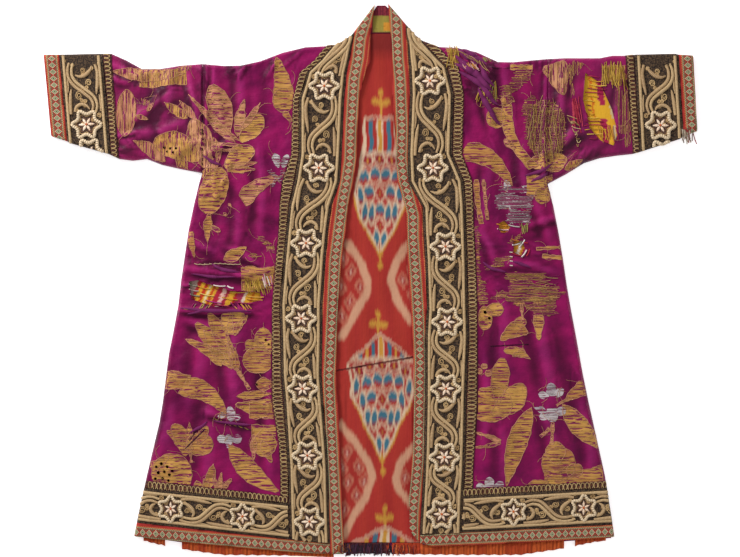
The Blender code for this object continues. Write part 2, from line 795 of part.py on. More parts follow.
def make_front_border(side, collection):
    """The scrolled border down one front, from the neck to the foot of the hem trim."""
    columns = []
    field_number = 0
    rail_low = side.hem_lines["rail_low"]
    shifts = {"rim_out": -RAIL_MARGIN, "rim_in": RAIL_MARGIN}
    heads = head_line(side)
    for kind, share in trim_columns():
        place_x = line_between(side, "rail_out", "rail_in", share, shifts.get(kind, 0.0))
        top = column_top(heads, place_x)
        head = strip_head(side, top)
        levels = [(y, SCROLL_ROWS[0], None) for y in head[:-1]]
        levels += star_levels(side.stars, head[-1], side.hem[0].y)[len(SCROLL_ROWS):]
        foot = on_run(rail_low, place_x(side.hem[0].y)) - RAIL_MARGIN
        levels.append((foot, SCROLL_ROWS[2], None))
        column = field_number if kind == "field" else 0
        points = []
        for y, heights, star_row in levels:
            low, height = rolled(top - y)
            full = 1.0 if height >= FRONT_TOP - 1e-6 else ROLLED_RELIEF
            place = (place_x(y), y)
            points.append(trim_point(place, kind, share, heights, star_row,
                                     (low, height, full), column, side.inward, -1.0))
        if kind == "field":
            field_number += 1
        columns.append(points)
    rows = [[column[row] for column in columns] for row in range(len(columns[0]))]
    return wall("front_border_" + side.name, rows, "scroll_border", collection, plain=True)


def make_front_tape(side, collection):
    """The woven tape and its piping along one front edge, round the corner of the hem."""
    start = RAIL_MARGIN + SEAM_GAP
    lines = []
    for share, rise in TAPE_LINES:
        shift = start * (1.0 - share)
        lines.append((line_between(side, "rail_in", "edge", share, shift), rise))
    make_front_strip("front_tape_" + side.name, side, lines, side.hem_lines["rail_low"].y1,
                     lambda place_x: column_foot(side, place_x), TAPE_WALL, "woven_tape",
                     collection)


def make_front_braid(side, collection):
    """The ladder braid along the outer side of one front border, down to the hem braid."""
    end = RAIL_MARGIN + SEAM_GAP
    lines = []
    for share, rise in BRAID_LINES:
        lines.append((line_between(side, "ladder", "rail_out", share, -end * share), rise))
    braid_run = side.hem_lines["ladder"]
    make_front_strip("front_braid_" + side.name, side, lines, braid_run.y1 + KINK_CLEAR,
                     lambda place_x: on_run(braid_run, place_x(braid_run.y1)), BRAID_WALL,
                     "ladder_braid", collection)


def end_of_line(side, name, shift, place_y):
    """X where a line of the hem trim meets an upright line of the front."""
    x = column_x(side, name, place_y(0.0)) + side.inward * shift
    for _ in range(4):
        x = column_x(side, name, place_y(x)) + side.inward * shift
    return x


def make_hem_border(side, collection):
    """The scrolled border along one front's hem, from the side edge to the front border."""
    up = side.hem_lines["rail_up"]
    low_run = side.hem_lines["rail_low"]
    start = column_x(side, "side", HEM_TRIM_Y) + side.inward * ROLL[-1].inset
    star_list = star_levels(side.hem_stars, start, column_x(side, "rail_out", HEM_TRIM_Y))
    end_first = side.hem_stars[-1] + side.inward * 2 * STAR_STEP
    lines = []
    field_number = 0
    for kind, share in trim_columns():
        margin = RAIL_MARGIN if kind == "rim_out" else -RAIL_MARGIN if kind == "rim_in" else 0.0

        def place_y(x, share=share, margin=margin):
            return mix(on_run(up, x), on_run(low_run, x), share) + margin

        levels = []
        edge_y = place_y(start)
        edge_x = column_x(side, "side", edge_y)
        for roll in ROLL:
            levels.append((edge_x + side.inward * roll.inset, SCROLL_ROWS[0], None, roll.inset))
        levels += [(x, heights, star_row, FAR_IN) for x, heights, star_row in star_list]
        end_x = end_of_line(side, "rail_out", -RAIL_MARGIN - SEAM_GAP, place_y)
        for count, heights in enumerate(SCROLL_ROWS[:-1], start=1):
            levels.append((mix(end_first, end_x, count / len(SCROLL_ROWS)), heights, None, FAR_IN))
        levels.append((end_x, SCROLL_ROWS[2], None, FAR_IN))
        column = field_number if kind == "field" else 0
        points = []
        for x, heights, star_row, inset in levels:
            low, height = rolled(inset)
            full = 1.0 if inset > ROLL[-1].inset else ROLLED_RELIEF
            y = place_y(x)
            point = trim_point((x, y), kind, share, heights, star_row, (low, height, full),
                               column, 0.0, 0.0)
            if star_row is not None and kind == "field":
                if abs(star_row) == 2 and column in (1, 3):
                    pull = side.inward * STAR_PULL * (1 if star_row < 0 else -1)
                    point = point._replace(dx=pull)
                if abs(star_row) == 1 and column in (0, 4):
                    pull = STAR_PULL * (-1 if column == 0 else 1)
                    point = point._replace(dy=pull)
            points.append(point)
        if kind == "field":
            field_number += 1
        lines.append(points)
    return wall("hem_border_" + side.name, lines, "scroll_border", collection, plain=True)


def make_hem_strip(name, side, upper, lower, end, rise, thickness, finish, collection):
    """A narrow strip along one front's hem between two lines, rolled down at the side edge."""
    lines = []
    for share, height in ((0.0, 0.0), (0.5, rise), (1.0, 0.1)):
        def place_y(x, share=share):
            return mix(upper(x), lower(x), share)

        guess = place_y(column_x(side, "side", HEM_TRIM_Y))
        edge_x = column_x(side, "side", guess)
        end_x = end_of_line(side, end[0], end[1], place_y)
        points = []
        for roll in ROLL[:-1]:
            x = edge_x + side.inward * roll.inset
            low = over(rolled(roll.inset)[1])
            points.append(Point(x, place_y(x), low, low + thickness + height * ROLLED_RELIEF))
        for step in shares(HEM_COLUMNS):
            x = mix(edge_x + side.inward * ROLL[-1].inset, end_x, step)
            low = FRONT_TOP + SEAM_GAP
            points.append(Point(x, place_y(x), low, low + thickness + height))
        lines.append(points)
    return wall(name, lines, finish, collection, plain=True)


def make_hem_trims(side, collection):
    """Border, ladder braid and woven tape along one front's hem."""
    make_hem_border(side, collection)
    lines = side.hem_lines
    make_hem_strip(
        "hem_braid_" + side.name, side,
        lambda x: on_run(lines["ladder"], x) - SEAM_GAP,
        lambda x: on_run(lines["rail_up"], x) + RAIL_MARGIN + SEAM_GAP,
        ("rail_out", -RAIL_MARGIN - SEAM_GAP),
        BRAID_HEIGHT, BRAID_WALL, "ladder_braid", collection)
    make_hem_strip(
        "hem_tape_" + side.name, side,
        lambda x: on_run(lines["rail_low"], x) - RAIL_MARGIN - SEAM_GAP,
        lambda x: hem_y(side, x),
        ("rail_in", RAIL_MARGIN),
        0.6, TAPE_WALL, "woven_tape", collection)


# Sleeves and cuffs

def station_point(station, distance):
    """A place on a line across a sleeve, at a distance down from the upper fold."""
    length = ((station.low_x - station.top_x) ** 2 + (station.low_y - station.top_y) ** 2) ** 0.5
    share = distance / length
    return mix(station.top_x, station.low_x, share), mix(station.top_y, station.low_y, share)


def station_length(station):
    """How far a line across a sleeve runs from fold to fold."""
    return ((station.low_x - station.top_x) ** 2 + (station.low_y - station.top_y) ** 2) ** 0.5


def between_stations(first, second, share):
    """A line across a sleeve that lies between two others."""
    values = [mix(a, b, share) for a, b in zip(first[1:], second[1:])]
    return Station("between", *values)


def line_at(stations, top_x):
    """The line across a sleeve that starts at one X of the upper fold."""
    for first, second in zip(stations, stations[1:]):
        share = (top_x - first.top_x) / (second.top_x - first.top_x)
        if 0.0 <= share <= 1.0:
            return between_stations(first, second, share)
    return stations[0]


def across_sleeve(station, steps):
    """Distances down a line across a sleeve, with both rolled edges, and their insets."""
    length = station_length(station)
    roll_in = ROLL[-1].inset
    distances = [(roll.inset, roll.inset) for roll in ROLL[:-1]]
    for share in shares(steps):
        distance = mix(roll_in, length - roll_in, share)
        distances.append((distance, min(distance, length - distance)))
    distances += [(length - roll.inset, roll.inset) for roll in reversed(ROLL[:-1])]
    return distances


def make_sleeve_front(name, stations, folds, collection):
    """The upper half of a sleeve, which rolls down to the surface along both its folds."""
    lines = []
    for station in stations:
        points = []
        for distance, inset in across_sleeve(station, SLEEVE_ROWS):
            x, y = station_point(station, distance)
            low, top = rolled(inset)
            rise = 0.0
            if station.name not in ("cuff", "tape", "rail_out", "rail_in", "ladder"):
                rise = fold_height(folds, x, y) * min(1.0, inset / (2 * ROLL[-1].inset))
            points.append(Point(x, y, low + rise, top + rise))
        lines.append(points)
    rows = [[line[row] for line in lines] for row in range(len(lines[0]))]
    return wall(name, rows, "magenta_silk", collection)


def make_sleeve_back(name, stations, collection):
    """The under half of a sleeve, level on top and stepped up over the back of the cuff trim."""
    lines = []
    ladder = next(station for station in stations if station.name == "ladder")
    fold = next(station for station in stations if station.name == "fold")
    step = between_stations(ladder, fold, STEP_WIDTH / abs(fold.top_x - ladder.top_x))
    trimmed = [station for station in stations if station.name != "fold"]
    place = trimmed.index(ladder) + 1
    for station in trimmed[:place] + [step] + trimmed[place:]:
        length = station_length(station)
        low = BACK_LIFT if station.name in ("cuff", "tape", "rail_out", "rail_in", "ladder") else 0.0
        points = []
        for share in shares(3):
            x, y = station_point(station, mix(BACK_INSET, length - BACK_INSET, share))
            points.append(Point(x, y, low, BACK_WALL))
        lines.append(points)
    rows = [[line[row] for line in lines] for row in range(len(lines[0]))]
    return wall(name, rows, "magenta_silk_back", collection)


def make_cuff_back(name, stations, collection):
    """The back of a cuff's border, flat on the surface under the sleeve."""
    table = {station.name: station for station in stations}
    lines = []
    for station in (between_stations(table["cuff"], table["tape"], CUFF_BACK_START), table["rail_out"],
                    between_stations(table["rail_in"], table["ladder"], CUFF_BACK_END)):
        length = station_length(station)
        points = []
        for share in shares(3):
            x, y = station_point(station, mix(BACK_INSET, length - BACK_INSET, share))
            points.append(Point(x, y, 0.0, UNDER_TRIM))
        lines.append(points)
    rows = [[line[row] for line in lines] for row in range(len(lines[0]))]
    return wall(name, rows, "scroll_border", collection)


def make_cuff_border(name, stations, side, collection):
    """The scrolled border round the front of a cuff, with its star near the lower fold."""
    table = {station.name: station for station in stations}
    lines = []
    field_number = 0
    for kind, share in trim_columns():
        top_x = mix(table["rail_out"].top_x, table["rail_in"].top_x, share)
        if kind == "rim_out":
            top_x -= side.inward * RAIL_MARGIN
        if kind == "rim_in":
            top_x += side.inward * RAIL_MARGIN
        station = line_at(stations, top_x)
        length = station_length(station)
        star = (station.top_y - CUFF_STAR_Y) * length / (station.top_y - station.low_y)
        roll_in = ROLL[-1].inset
        levels = [(roll.inset, SCROLL_ROWS[1], None) for roll in ROLL]
        pattern = star_levels((star,), roll_in, length)
        pattern.append((star + 3 * STAR_STEP, SCROLL_ROWS[0], None))
        for number, (distance, heights, star_row) in enumerate(pattern):
            limit = length - roll_in - (len(pattern) - number) * LEAST_STEP
            levels.append((min(distance, limit), heights, star_row))
        levels += [(length - roll.inset, SCROLL_ROWS[1], None) for roll in reversed(ROLL)]
        column = field_number if kind == "field" else 0
        points = []
        for distance, heights, star_row in levels:
            inset = min(distance, length - distance)
            low, height = rolled(inset)
            full = 1.0 if inset > roll_in + 1e-6 else ROLLED_RELIEF
            points.append(trim_point(station_point(station, distance), kind, share, heights,
                                     star_row, (low, height, full), column, side.inward, -1.0))
        if kind == "field":
            field_number += 1
        lines.append(points)
    rows = [[line[row] for line in lines] for row in range(len(lines[0]))]
    return wall(name, rows, "scroll_border", collection, plain=True)


def make_cuff_strip(name, stations, ends, rise, thickness, finish, collection):
    """A narrow strip round the front of a cuff, between two places along the upper fold."""
    lines = []
    for share, height in ((0.0, 0.1), (0.5, rise), (1.0, 0.1)):
        station = line_at(stations, mix(ends[0], ends[1], share))
        points = []
        for distance, inset in across_sleeve(station, SLEEVE_ROWS):
            low = over(rolled(inset)[1])
            full = 1.0 if inset >= ROLL[-1].inset else ROLLED_RELIEF
            x, y = station_point(station, distance)
            points.append(Point(x, y, low, low + thickness + height * full))
        lines.append(points)
    rows = [[line[row] for line in lines] for row in range(len(lines[0]))]
    return wall(name, rows, finish, collection, plain=True)


def make_sleeve(side, stations, collection):
    """One sleeve with the trim of its cuff, front and back."""
    make_sleeve_front("sleeve_%s_front" % side.name, stations, SLEEVE_FOLDS[side.name], collection)
    make_sleeve_back("sleeve_%s_back" % side.name, stations, collection)
    make_cuff_back("cuff_border_%s_back" % side.name, stations, collection)
    make_cuff_border("cuff_border_%s" % side.name, stations, side, collection)
    table = {station.name: station for station in stations}
    rim = side.inward * (RAIL_MARGIN + SEAM_GAP)
    tape_ends = (table["cuff"].top_x, table["rail_out"].top_x - rim)
    braid_ends = (table["rail_in"].top_x + rim, table["ladder"].top_x)
    make_cuff_strip("cuff_tape_%s" % side.name, stations, tape_ends,
                    0.6, TAPE_WALL, "woven_tape", collection)
    make_cuff_strip("cuff_braid_%s" % side.name, stations, braid_ends,
                    BRAID_HEIGHT, BRAID_WALL, "ladder_braid", collection)


# Tears

def cut_rips(name, outlines, collection, cutters):
    """Cuts the torn openings of one piece right through its wall."""
    piece = collection.objects[name]
    for number, outline in enumerate(outlines):
        mesh = bmesh.new()
        corners = [mesh.verts.new((place.x * METRE, place.y * METRE, 0.0)) for place in outline]
        face = mesh.faces.new(corners)
        raised = bmesh.ops.extrude_face_region(mesh, geom=[face])["geom"]
        lifted = [item for item in raised if isinstance(item, bmesh.types.BMVert)]
        bmesh.ops.translate(mesh, verts=lifted, vec=(0.0, 0.0, RIP_CUTTER_DEPTH * METRE))
        bmesh.ops.recalc_face_normals(mesh, faces=mesh.faces[:])
        cutter = add_object("rip_%s_%d" % (name, number), mesh, None, cutters)
        cutter.hide_render = True
        cutter.display_type = "WIRE"
        cut = piece.modifiers.new("rip_%d" % number, "BOOLEAN")
        cut.operation = "DIFFERENCE"
        cut.solver = "EXACT"
        cut.object = cutter


def main():
    """Clears the scene and lays the robe down from the back to the trim."""
    for item in list(bpy.data.objects):
        bpy.data.objects.remove(item, do_unlink=True)
    robe = bpy.data.collections.new(GARMENT)
    cutters = bpy.data.collections.new(GARMENT + "_cutters")
    bpy.context.scene.collection.children.link(robe)
    bpy.context.scene.collection.children.link(cutters)
    for name, finish in FINISHES.items():
        make_material(name, finish)

    make_back(robe)
    make_hem_border_back(robe)
    make_rows_piece("collar_back", COLLAR_ROWS, 0.0, BACK_WALL, "scroll_border", robe)
    make_rows_piece("neck_facing", NECK_FACING_ROWS, LINING_LOW, LINING_WALL, "orange_facing", robe)
    make_linings(robe)
    for facing in FACINGS:
        make_facing(facing, robe)
    for name, patch in PATCHES.items():
        make_patch(name, patch, robe)
    for side, stations in zip(SIDES, (LEFT_STATIONS, RIGHT_STATIONS)):
        make_front(side, robe)
        make_front_border(side, robe)
        make_front_tape(side, robe)
        make_front_braid(side, robe)
        make_hem_trims(side, robe)
        make_sleeve(side, stations, robe)
    for name, outlines in RIPS.items():
        cut_rips(name, outlines, robe, cutters)


main()
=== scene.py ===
"""A child's silk robe laid flat and face up: its cloth, couched borders, tape, lining and worn brocade.

Places in the tables are in millimetres of the robe, or in pixels of the photograph where a table says so.
X runs to the right across the sleeves, Y from the hem to the neck and Z up from the surface.
"""
import logging
import math
import random
from collections.abc import Callable, Iterable, Sequence
from dataclasses import dataclass, field
from enum import Enum

import bmesh
import bpy
import numpy as np
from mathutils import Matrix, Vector
from mathutils.bvhtree import BVHTree


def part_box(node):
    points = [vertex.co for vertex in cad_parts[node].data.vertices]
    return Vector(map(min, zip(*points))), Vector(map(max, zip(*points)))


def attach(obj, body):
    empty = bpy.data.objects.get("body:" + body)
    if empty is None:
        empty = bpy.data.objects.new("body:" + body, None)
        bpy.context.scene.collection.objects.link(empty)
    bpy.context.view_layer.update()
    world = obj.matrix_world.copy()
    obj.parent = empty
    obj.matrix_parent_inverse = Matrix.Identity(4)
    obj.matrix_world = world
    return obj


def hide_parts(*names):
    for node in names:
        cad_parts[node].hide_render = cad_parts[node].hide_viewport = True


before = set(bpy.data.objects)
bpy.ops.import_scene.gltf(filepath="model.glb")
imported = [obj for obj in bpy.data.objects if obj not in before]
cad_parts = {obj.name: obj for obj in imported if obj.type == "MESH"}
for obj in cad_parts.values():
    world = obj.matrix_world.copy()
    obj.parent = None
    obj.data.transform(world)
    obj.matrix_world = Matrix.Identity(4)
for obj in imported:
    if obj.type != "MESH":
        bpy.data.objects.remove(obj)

log = logging.getLogger("robe")

MM = 0.001
PIXEL = 1.2
MIDDLE = (370.5, 280.0)
BODY = "root"
LEAST_FLAT = 0.0102

Point = tuple[float, float]
Points = Sequence[Point]


def spot(px: float, py: float) -> Point:
    """The place on the robe, in millimetres, that a pixel of the photograph shows."""
    return (px - MIDDLE[0]) * PIXEL, (MIDDLE[1] - py) * PIXEL


def linear(code: str) -> tuple[float, float, float, float]:
    """Turns an sRGB hex value to a linear colour.

    Args:
        code: Six hex digits.

    Returns:
        Red, green, blue and an alpha of one.
    """
    parts = [int(code[i:i + 2], 16) / 255 for i in (0, 2, 4)]
    red, green, blue = (c / 12.92 if c <= 0.04045 else ((c + 0.055) / 1.055) ** 2.4 for c in parts)
    return red, green, blue, 1.0


def add_node(tree: bpy.types.NodeTree, kind: str, settings: dict | None = None,
             links: dict | None = None) -> bpy.types.Node:
    """Adds one node to a tree.

    Args:
        tree: The shader or geometry tree.
        kind: The node's type.
        settings: Values by name. A name or number of an input sets that input, "stops" fills a colour
            ramp with pairs of place and colour, "interpolation" is the ramp's, and any other name is a
            property of the node.
        links: The outputs that feed it, by the name or number of the input.

    Returns:
        The new node.
    """
    node = tree.nodes.new(kind)
    for name, value in (settings or {}).items():
        if name == "stops":
            ramp = node.color_ramp
            while len(ramp.elements) < len(value):
                ramp.elements.new(0.5)
            for element, (place, colour) in zip(ramp.elements, value):
                element.position = place
                element.color = linear(colour)
        elif name == "interpolation":
            node.color_ramp.interpolation = value
        elif isinstance(name, int) or name in node.inputs:
            node.inputs[name].default_value = value
        else:
            setattr(node, name, value)
    for name, output in (links or {}).items():
        tree.links.new(output, node.inputs[name])
    return node


def maths(tree: bpy.types.NodeTree, operation: str, first: object, second: object = 0.0) -> bpy.types.NodeSocket:
    """One arithmetic step in a tree.

    Args:
        tree: The tree.
        operation: The name of the operation.
        first: A number or an output socket.
        second: The same, for the second input.

    Returns:
        The output with the result.
    """
    settings = {"operation": operation}
    links = {}
    for place, value in enumerate((first, second)):
        (links if isinstance(value, bpy.types.NodeSocket) else settings)[place] = value
    return add_node(tree, "ShaderNodeMath", settings, links).outputs[0]


def blend_colours(tree: bpy.types.NodeTree, share: object, first: object, second: object) -> bpy.types.NodeSocket:
    """Mixes two colours in a tree.

    Args:
        tree: The tree.
        share: How much of the second shows, a number or an output.
        first: A hex value or an output.
        second: A hex value or an output.

    Returns:
        The output with the mixed colour.
    """
    settings = {"data_type": "RGBA"}
    links = {}
    for place, value in ((0, share), (6, first), (7, second)):
        if isinstance(value, bpy.types.NodeSocket):
            links[place] = value
        else:
            settings[place] = linear(value) if isinstance(value, str) else value
    return add_node(tree, "ShaderNodeMix", settings, links).outputs[2]


class Grain(Enum):
    """Which way the threads of a cloth lie; the value is the pattern's stretch along X and Y."""

    ACROSS = (0.08, 1.0)
    UP = (1.0, 0.08)
    PLAIN = (1.0, 1.0)


@dataclass(frozen=True)
class Finish:
    """What a surface is made of. Each kind fills in the shader of its own material."""

    name: str
    roughness: float = 0.7
    sheen: float = 0.0
    specular: float = 0.4

    def material(self) -> bpy.types.Material:
        """The finish's material, made on the first call and kept.

        Returns:
            The material.
        """
        kept = bpy.data.materials.get(self.name)
        if kept:
            return kept
        made = bpy.data.materials.new(self.name)
        made.use_nodes = True
        tree = made.node_tree
        tree.nodes.clear()
        shader = add_node(tree, "ShaderNodeBsdfPrincipled", {
            "Roughness": self.roughness, "Sheen Weight": self.sheen, "Specular IOR Level": self.specular})
        add_node(tree, "ShaderNodeOutputMaterial", links={"Surface": shader.outputs[0]})
        self.dress(tree, shader)
        return made

    def dress(self, tree: bpy.types.NodeTree, shader: bpy.types.Node) -> None:
        """Adds the colour and relief. Each kind of finish has its own."""

    def grain(self, tree: bpy.types.NodeTree, thread: float, way: Grain, detail: float = 3.0) -> bpy.types.NodeSocket:
        """Noise drawn out along the threads.

        Args:
            tree: The tree.
            thread: The width of one streak in millimetres.
            way: The direction of the threads.
            detail: Octaves of the noise.

        Returns:
            The output with the streaks, from 0 to 1.
        """
        place = add_node(tree, "ShaderNodeTexCoord").outputs["Object"]
        scale = (way.value[0] / (thread * MM), way.value[1] / (thread * MM), 1 / (thread * MM))
        stretched = add_node(tree, "ShaderNodeMapping", {"Scale": scale}, {"Vector": place})
        noise = add_node(tree, "ShaderNodeTexNoise", {"Scale": 1.0, "Detail": detail, "Roughness": 0.6},
                         {"Vector": stretched.outputs[0]})
        return noise.outputs[0]

    def relief(self, tree: bpy.types.NodeTree, shader: bpy.types.Node, height: bpy.types.NodeSocket,
               depth: float, under: bpy.types.NodeSocket | None = None) -> bpy.types.NodeSocket:
        """Adds bump to the shader.

        Args:
            tree: The tree.
            shader: The shader that takes the result.
            height: The height, from 0 to 1.
            depth: The real depth of the relief in millimetres.
            under: The normal of a coarser relief beneath it.

        Returns:
            The bump's normal.
        """
        links = {"Height": height}
        if under is not None:
            links["Normal"] = under
        bump = add_node(tree, "ShaderNodeBump", {"Strength": 1.0, "Distance": depth * MM}, links).outputs[0]
        tree.links.new(bump, shader.inputs["Normal"])
        return bump


@dataclass(frozen=True)
class Silk(Finish):
    """Satin silk, worn: a soft sheen, faint thread lines and cloudy fading."""

    deep: str = "720A48"
    bright: str = "A4145F"
    # Colours of the painted shade in the troughs and of the painted highlight on the ridges
    trough: str = "34041F"
    painted_highlight: str = "B4307C"
    way: Grain = Grain.ACROSS
    thread: float = 1.3
    cloud: float = 34.0

    def dress(self, tree: bpy.types.NodeTree, shader: bpy.types.Node) -> None:
        """Cloudy magenta with streaks along the weft, two sizes of fine crumple, painted shade beside the folds and
        painted highlight on their ridges.
        """
        streak = self.grain(tree, self.thread, self.way)
        faded = self.grain(tree, self.cloud, Grain.PLAIN, 4.0)
        crumple = self.grain(tree, 11.0, Grain.PLAIN, 2.0)
        sharper = add_node(tree, "ShaderNodeValToRGB", {"stops": ((0.36, "000000"), (0.66, "FFFFFF"))},
                           {0: faded}).outputs[0]
        cloudy = blend_colours(tree, sharper, self.deep, self.bright)
        lined = blend_colours(tree, maths(tree, "MULTIPLY", streak, 0.34), cloudy, self.deep)
        # Painted shade from the fold attribute and painted highlight from the ridge attribute
        fold = add_node(tree, "ShaderNodeAttribute", {"attribute_name": "fold"}).outputs["Fac"]
        ridge = add_node(tree, "ShaderNodeAttribute", {"attribute_name": "ridge"}).outputs["Fac"]
        shaded = blend_colours(tree, fold, lined, self.trough)
        painted_highlight = blend_colours(tree, ridge, shaded, self.painted_highlight)
        tree.links.new(painted_highlight, shader.inputs["Base Color"])
        soft = self.relief(tree, shader, crumple, 1.1)
        self.relief(tree, shader, streak, 0.22, soft)


@dataclass(frozen=True)
class Thread(Finish):
    """Floating or couched thread, its tone taken from the attribute of that name."""

    dark: str = "8A6418"
    light: str = "D8B050"
    rib: float = 1.2
    rib_depth: float = 0.35

    def dress(self, tree: bpy.types.NodeTree, shader: bpy.types.Node) -> None:
        """Colour by tone, with ribs across the thread where the couching stitches hold it; the ribs also lighten the
        colour on their crests and darken it in their gaps, as painted highlight and painted shade.
        """
        tone = add_node(tree, "ShaderNodeAttribute", {"attribute_name": "tone"}).outputs["Fac"]
        along = add_node(tree, "ShaderNodeAttribute", {"attribute_name": "along"}).outputs["Fac"]
        wave = maths(tree, "SINE", maths(tree, "MULTIPLY", along, 2 * math.pi / self.rib))
        rib = maths(tree, "MULTIPLY", maths(tree, "ADD", wave, 1.0), 0.5)
        speck = self.grain(tree, 1.6, Grain.PLAIN, 2.0)
        # The ribs lighten the crests and darken the gaps: painted highlight and painted shade, mixed with random
        # speckle of tone
        shade = maths(tree, "ADD", maths(tree, "MULTIPLY", rib, 0.22),
                      maths(tree, "MULTIPLY", maths(tree, "SUBTRACT", speck, 0.5), 0.7))
        share = maths(tree, "ADD", tone, maths(tree, "SUBTRACT", shade, 0.11))
        ramp = add_node(tree, "ShaderNodeValToRGB", {"stops": ((0.0, self.dark), (1.0, self.light))}, {0: share})
        tree.links.new(ramp.outputs[0], shader.inputs["Base Color"])
        self.relief(tree, shader, rib, self.rib_depth)


@dataclass(frozen=True)
class Ground(Finish):
    """Dark cloth under couching, seen between the cords and speckled by small stitches."""

    dark: str = "281A14"
    light: str = "7A5E3C"
    stitch: float = 1.9
    cover: tuple[float, float] = (0.42, 0.62)

    def dress(self, tree: bpy.types.NodeTree, shader: bpy.types.Node) -> None:
        """Dark brown with lighter stitches."""
        speck = self.grain(tree, self.stitch, Grain.PLAIN, 1.0)
        share = add_node(tree, "ShaderNodeValToRGB",
                         {"stops": ((self.cover[0], "000000"), (self.cover[1], "FFFFFF"))}, {0: speck}).outputs[0]
        tree.links.new(blend_colours(tree, share, self.dark, self.light), shader.inputs["Base Color"])
        self.relief(tree, shader, speck, 0.7)


@dataclass(frozen=True)
class Painted(Finish):
    """Cloth whose pattern was dyed or woven in: its colours are charted on the piece's own points."""

    way: Grain = Grain.UP
    thread: float = 1.2
    depth: float = 0.3
    crumple: float = 0.6
    fade: str = "3A0C0C"

    def dress(self, tree: bpy.types.NodeTree, shader: bpy.types.Node) -> None:
        """The charted colour, worn along the threads, with their ribs."""
        paint = add_node(tree, "ShaderNodeAttribute", {"attribute_name": "paint"}).outputs["Color"]
        streak = self.grain(tree, self.thread, self.way)
        worn = blend_colours(tree, maths(tree, "MULTIPLY", streak, 0.2), paint, self.fade)
        tree.links.new(worn, shader.inputs["Base Color"])
        soft = self.relief(tree, shader, self.grain(tree, 9.0, Grain.PLAIN, 2.0), self.crumple)
        self.relief(tree, shader, streak, self.depth, soft)


@dataclass(frozen=True)
class DiamondTape(Finish):
    """Card-woven tape: cream and green diamonds on red between dotted edges, on the piece's own UV map."""

    pitch: float = 7.9
    half_band: float = 6.2
    lattice: float = 4.9

    def dress(self, tree: bpy.types.NodeTree, shader: bpy.types.Node) -> None:
        """Draws the diamonds from distances along and across the tape, both in millimetres."""
        uv = add_node(tree, "ShaderNodeUVMap", {"uv_map": "tape"})
        parts = add_node(tree, "ShaderNodeSeparateXYZ", links={0: uv.outputs[0]})
        along, across = parts.outputs[0], parts.outputs[1]
        cell = maths(tree, "FRACT", maths(tree, "DIVIDE", along, self.pitch))
        reach = maths(tree, "MULTIPLY", maths(tree, "ABSOLUTE", maths(tree, "SUBTRACT", cell, 0.5)), 2.0)
        side = maths(tree, "ABSOLUTE", across)
        diamond = maths(tree, "ADD", reach, maths(tree, "DIVIDE", side, self.lattice))
        ramp = add_node(tree, "ShaderNodeValToRGB", {
            "interpolation": "CONSTANT",
            "stops": ((0.0, "2E6646"), (0.13, "D2C098"), (0.22, "4E7C58"), (0.33, "DACAA4"), (0.45, "A82C24"),
                      (0.72, "3F7050"), (0.84, "A82C24"))},
            {0: maths(tree, "DIVIDE", diamond, 2.0)}).outputs[0]
        dash = maths(tree, "FRACT", maths(tree, "DIVIDE", along, 2.1))
        dots = blend_colours(tree, maths(tree, "GREATER_THAN", dash, 0.5), "D0B88A", "47785A")
        edge = maths(tree, "GREATER_THAN", side, self.lattice)
        band = blend_colours(tree, edge, ramp, dots)
        spark = blend_colours(tree, maths(tree, "GREATER_THAN", dash, 0.5), "B8281E", "E09A5A")
        near = maths(tree, "LESS_THAN", maths(tree, "ABSOLUTE", maths(tree, "SUBTRACT", side, self.half_band + 0.7)),
                     0.55)
        far = maths(tree, "LESS_THAN", maths(tree, "ABSOLUTE", maths(tree, "SUBTRACT", side, self.half_band + 5.2)),
                    0.55)
        red = blend_colours(tree, self.grain(tree, 2.2, Grain.PLAIN), "9C1A22", "CC3A2E")
        strip = blend_colours(tree, maths(tree, "MAXIMUM", near, far), red, spark)
        outside = maths(tree, "GREATER_THAN", side, self.half_band)
        whole = blend_colours(tree, outside, band, strip)
        worn = blend_colours(tree, maths(tree, "MULTIPLY", self.grain(tree, 1.4, Grain.PLAIN), 0.3), whole, "6A4030")
        tree.links.new(worn, shader.inputs["Base Color"])
        ridge = maths(tree, "SINE", maths(tree, "MULTIPLY", along, 2 * math.pi / 1.05))
        self.relief(tree, shader, maths(tree, "MULTIPLY", maths(tree, "ADD", ridge, diamond), 0.4), 0.3)


MAGENTA = Silk("magenta_silk_satin", roughness=0.5, sheen=0.05, specular=0.1)
MAGENTA_SLEEVE = Silk("magenta_silk_satin_sleeve", roughness=0.5, sheen=0.05, specular=0.18, way=Grain.UP)
# A darker, duller copy of the satin for the back and the sleeve backs; on the gathered twists of the front silk it
# stands for painted shade
BACK_SILK = Silk("magenta_silk_back", roughness=0.55, sheen=0.05, specular=0.18, deep="580A34", bright="78124A")
GOLD_FLOAT = Thread("gilt_brocade_float", roughness=0.5, dark="7C4A34", light="C89E54", rib=5.0, rib_depth=0.1)
SILVER_FLOAT = Thread("silver_brocade_float", roughness=0.45, dark="746468", light="BAACA8", rib=5.0, rib_depth=0.1)
COUCHED = Thread("couched_gilt_cord", roughness=0.6, dark="8C6242", light="DEBE8C", rib=1.6)
STAR_CORD = Thread("twisted_cream_cord", roughness=0.65, dark="C49A70", light="F6E0BC", rib=2.6, rib_depth=0.8)
PETAL = Thread("cream_silk_stitch", roughness=0.6, dark="DDAA86", light="FFE8CE", rib=3.0, rib_depth=0.2)
LADDER_CORD = Thread("looped_braid_thread", roughness=0.7, dark="8C6C46", light="D6B67C", rib=1.3)
FILLING = Thread("fine_filling_cord", roughness=0.7, dark="9A7448", light="DEBA84", rib=1.2)
KNOT = Thread("orange_knot_stitch", roughness=0.7, dark="8E2A14", light="D8702E", rib=1.5)
COLOURED = Painted("loose_dyed_thread", roughness=0.75, thread=1.0, depth=0.1, crumple=0.05)
BORDER_GROUND = Ground("dark_border_ground", roughness=0.85, dark="20140F", light="5C4630")
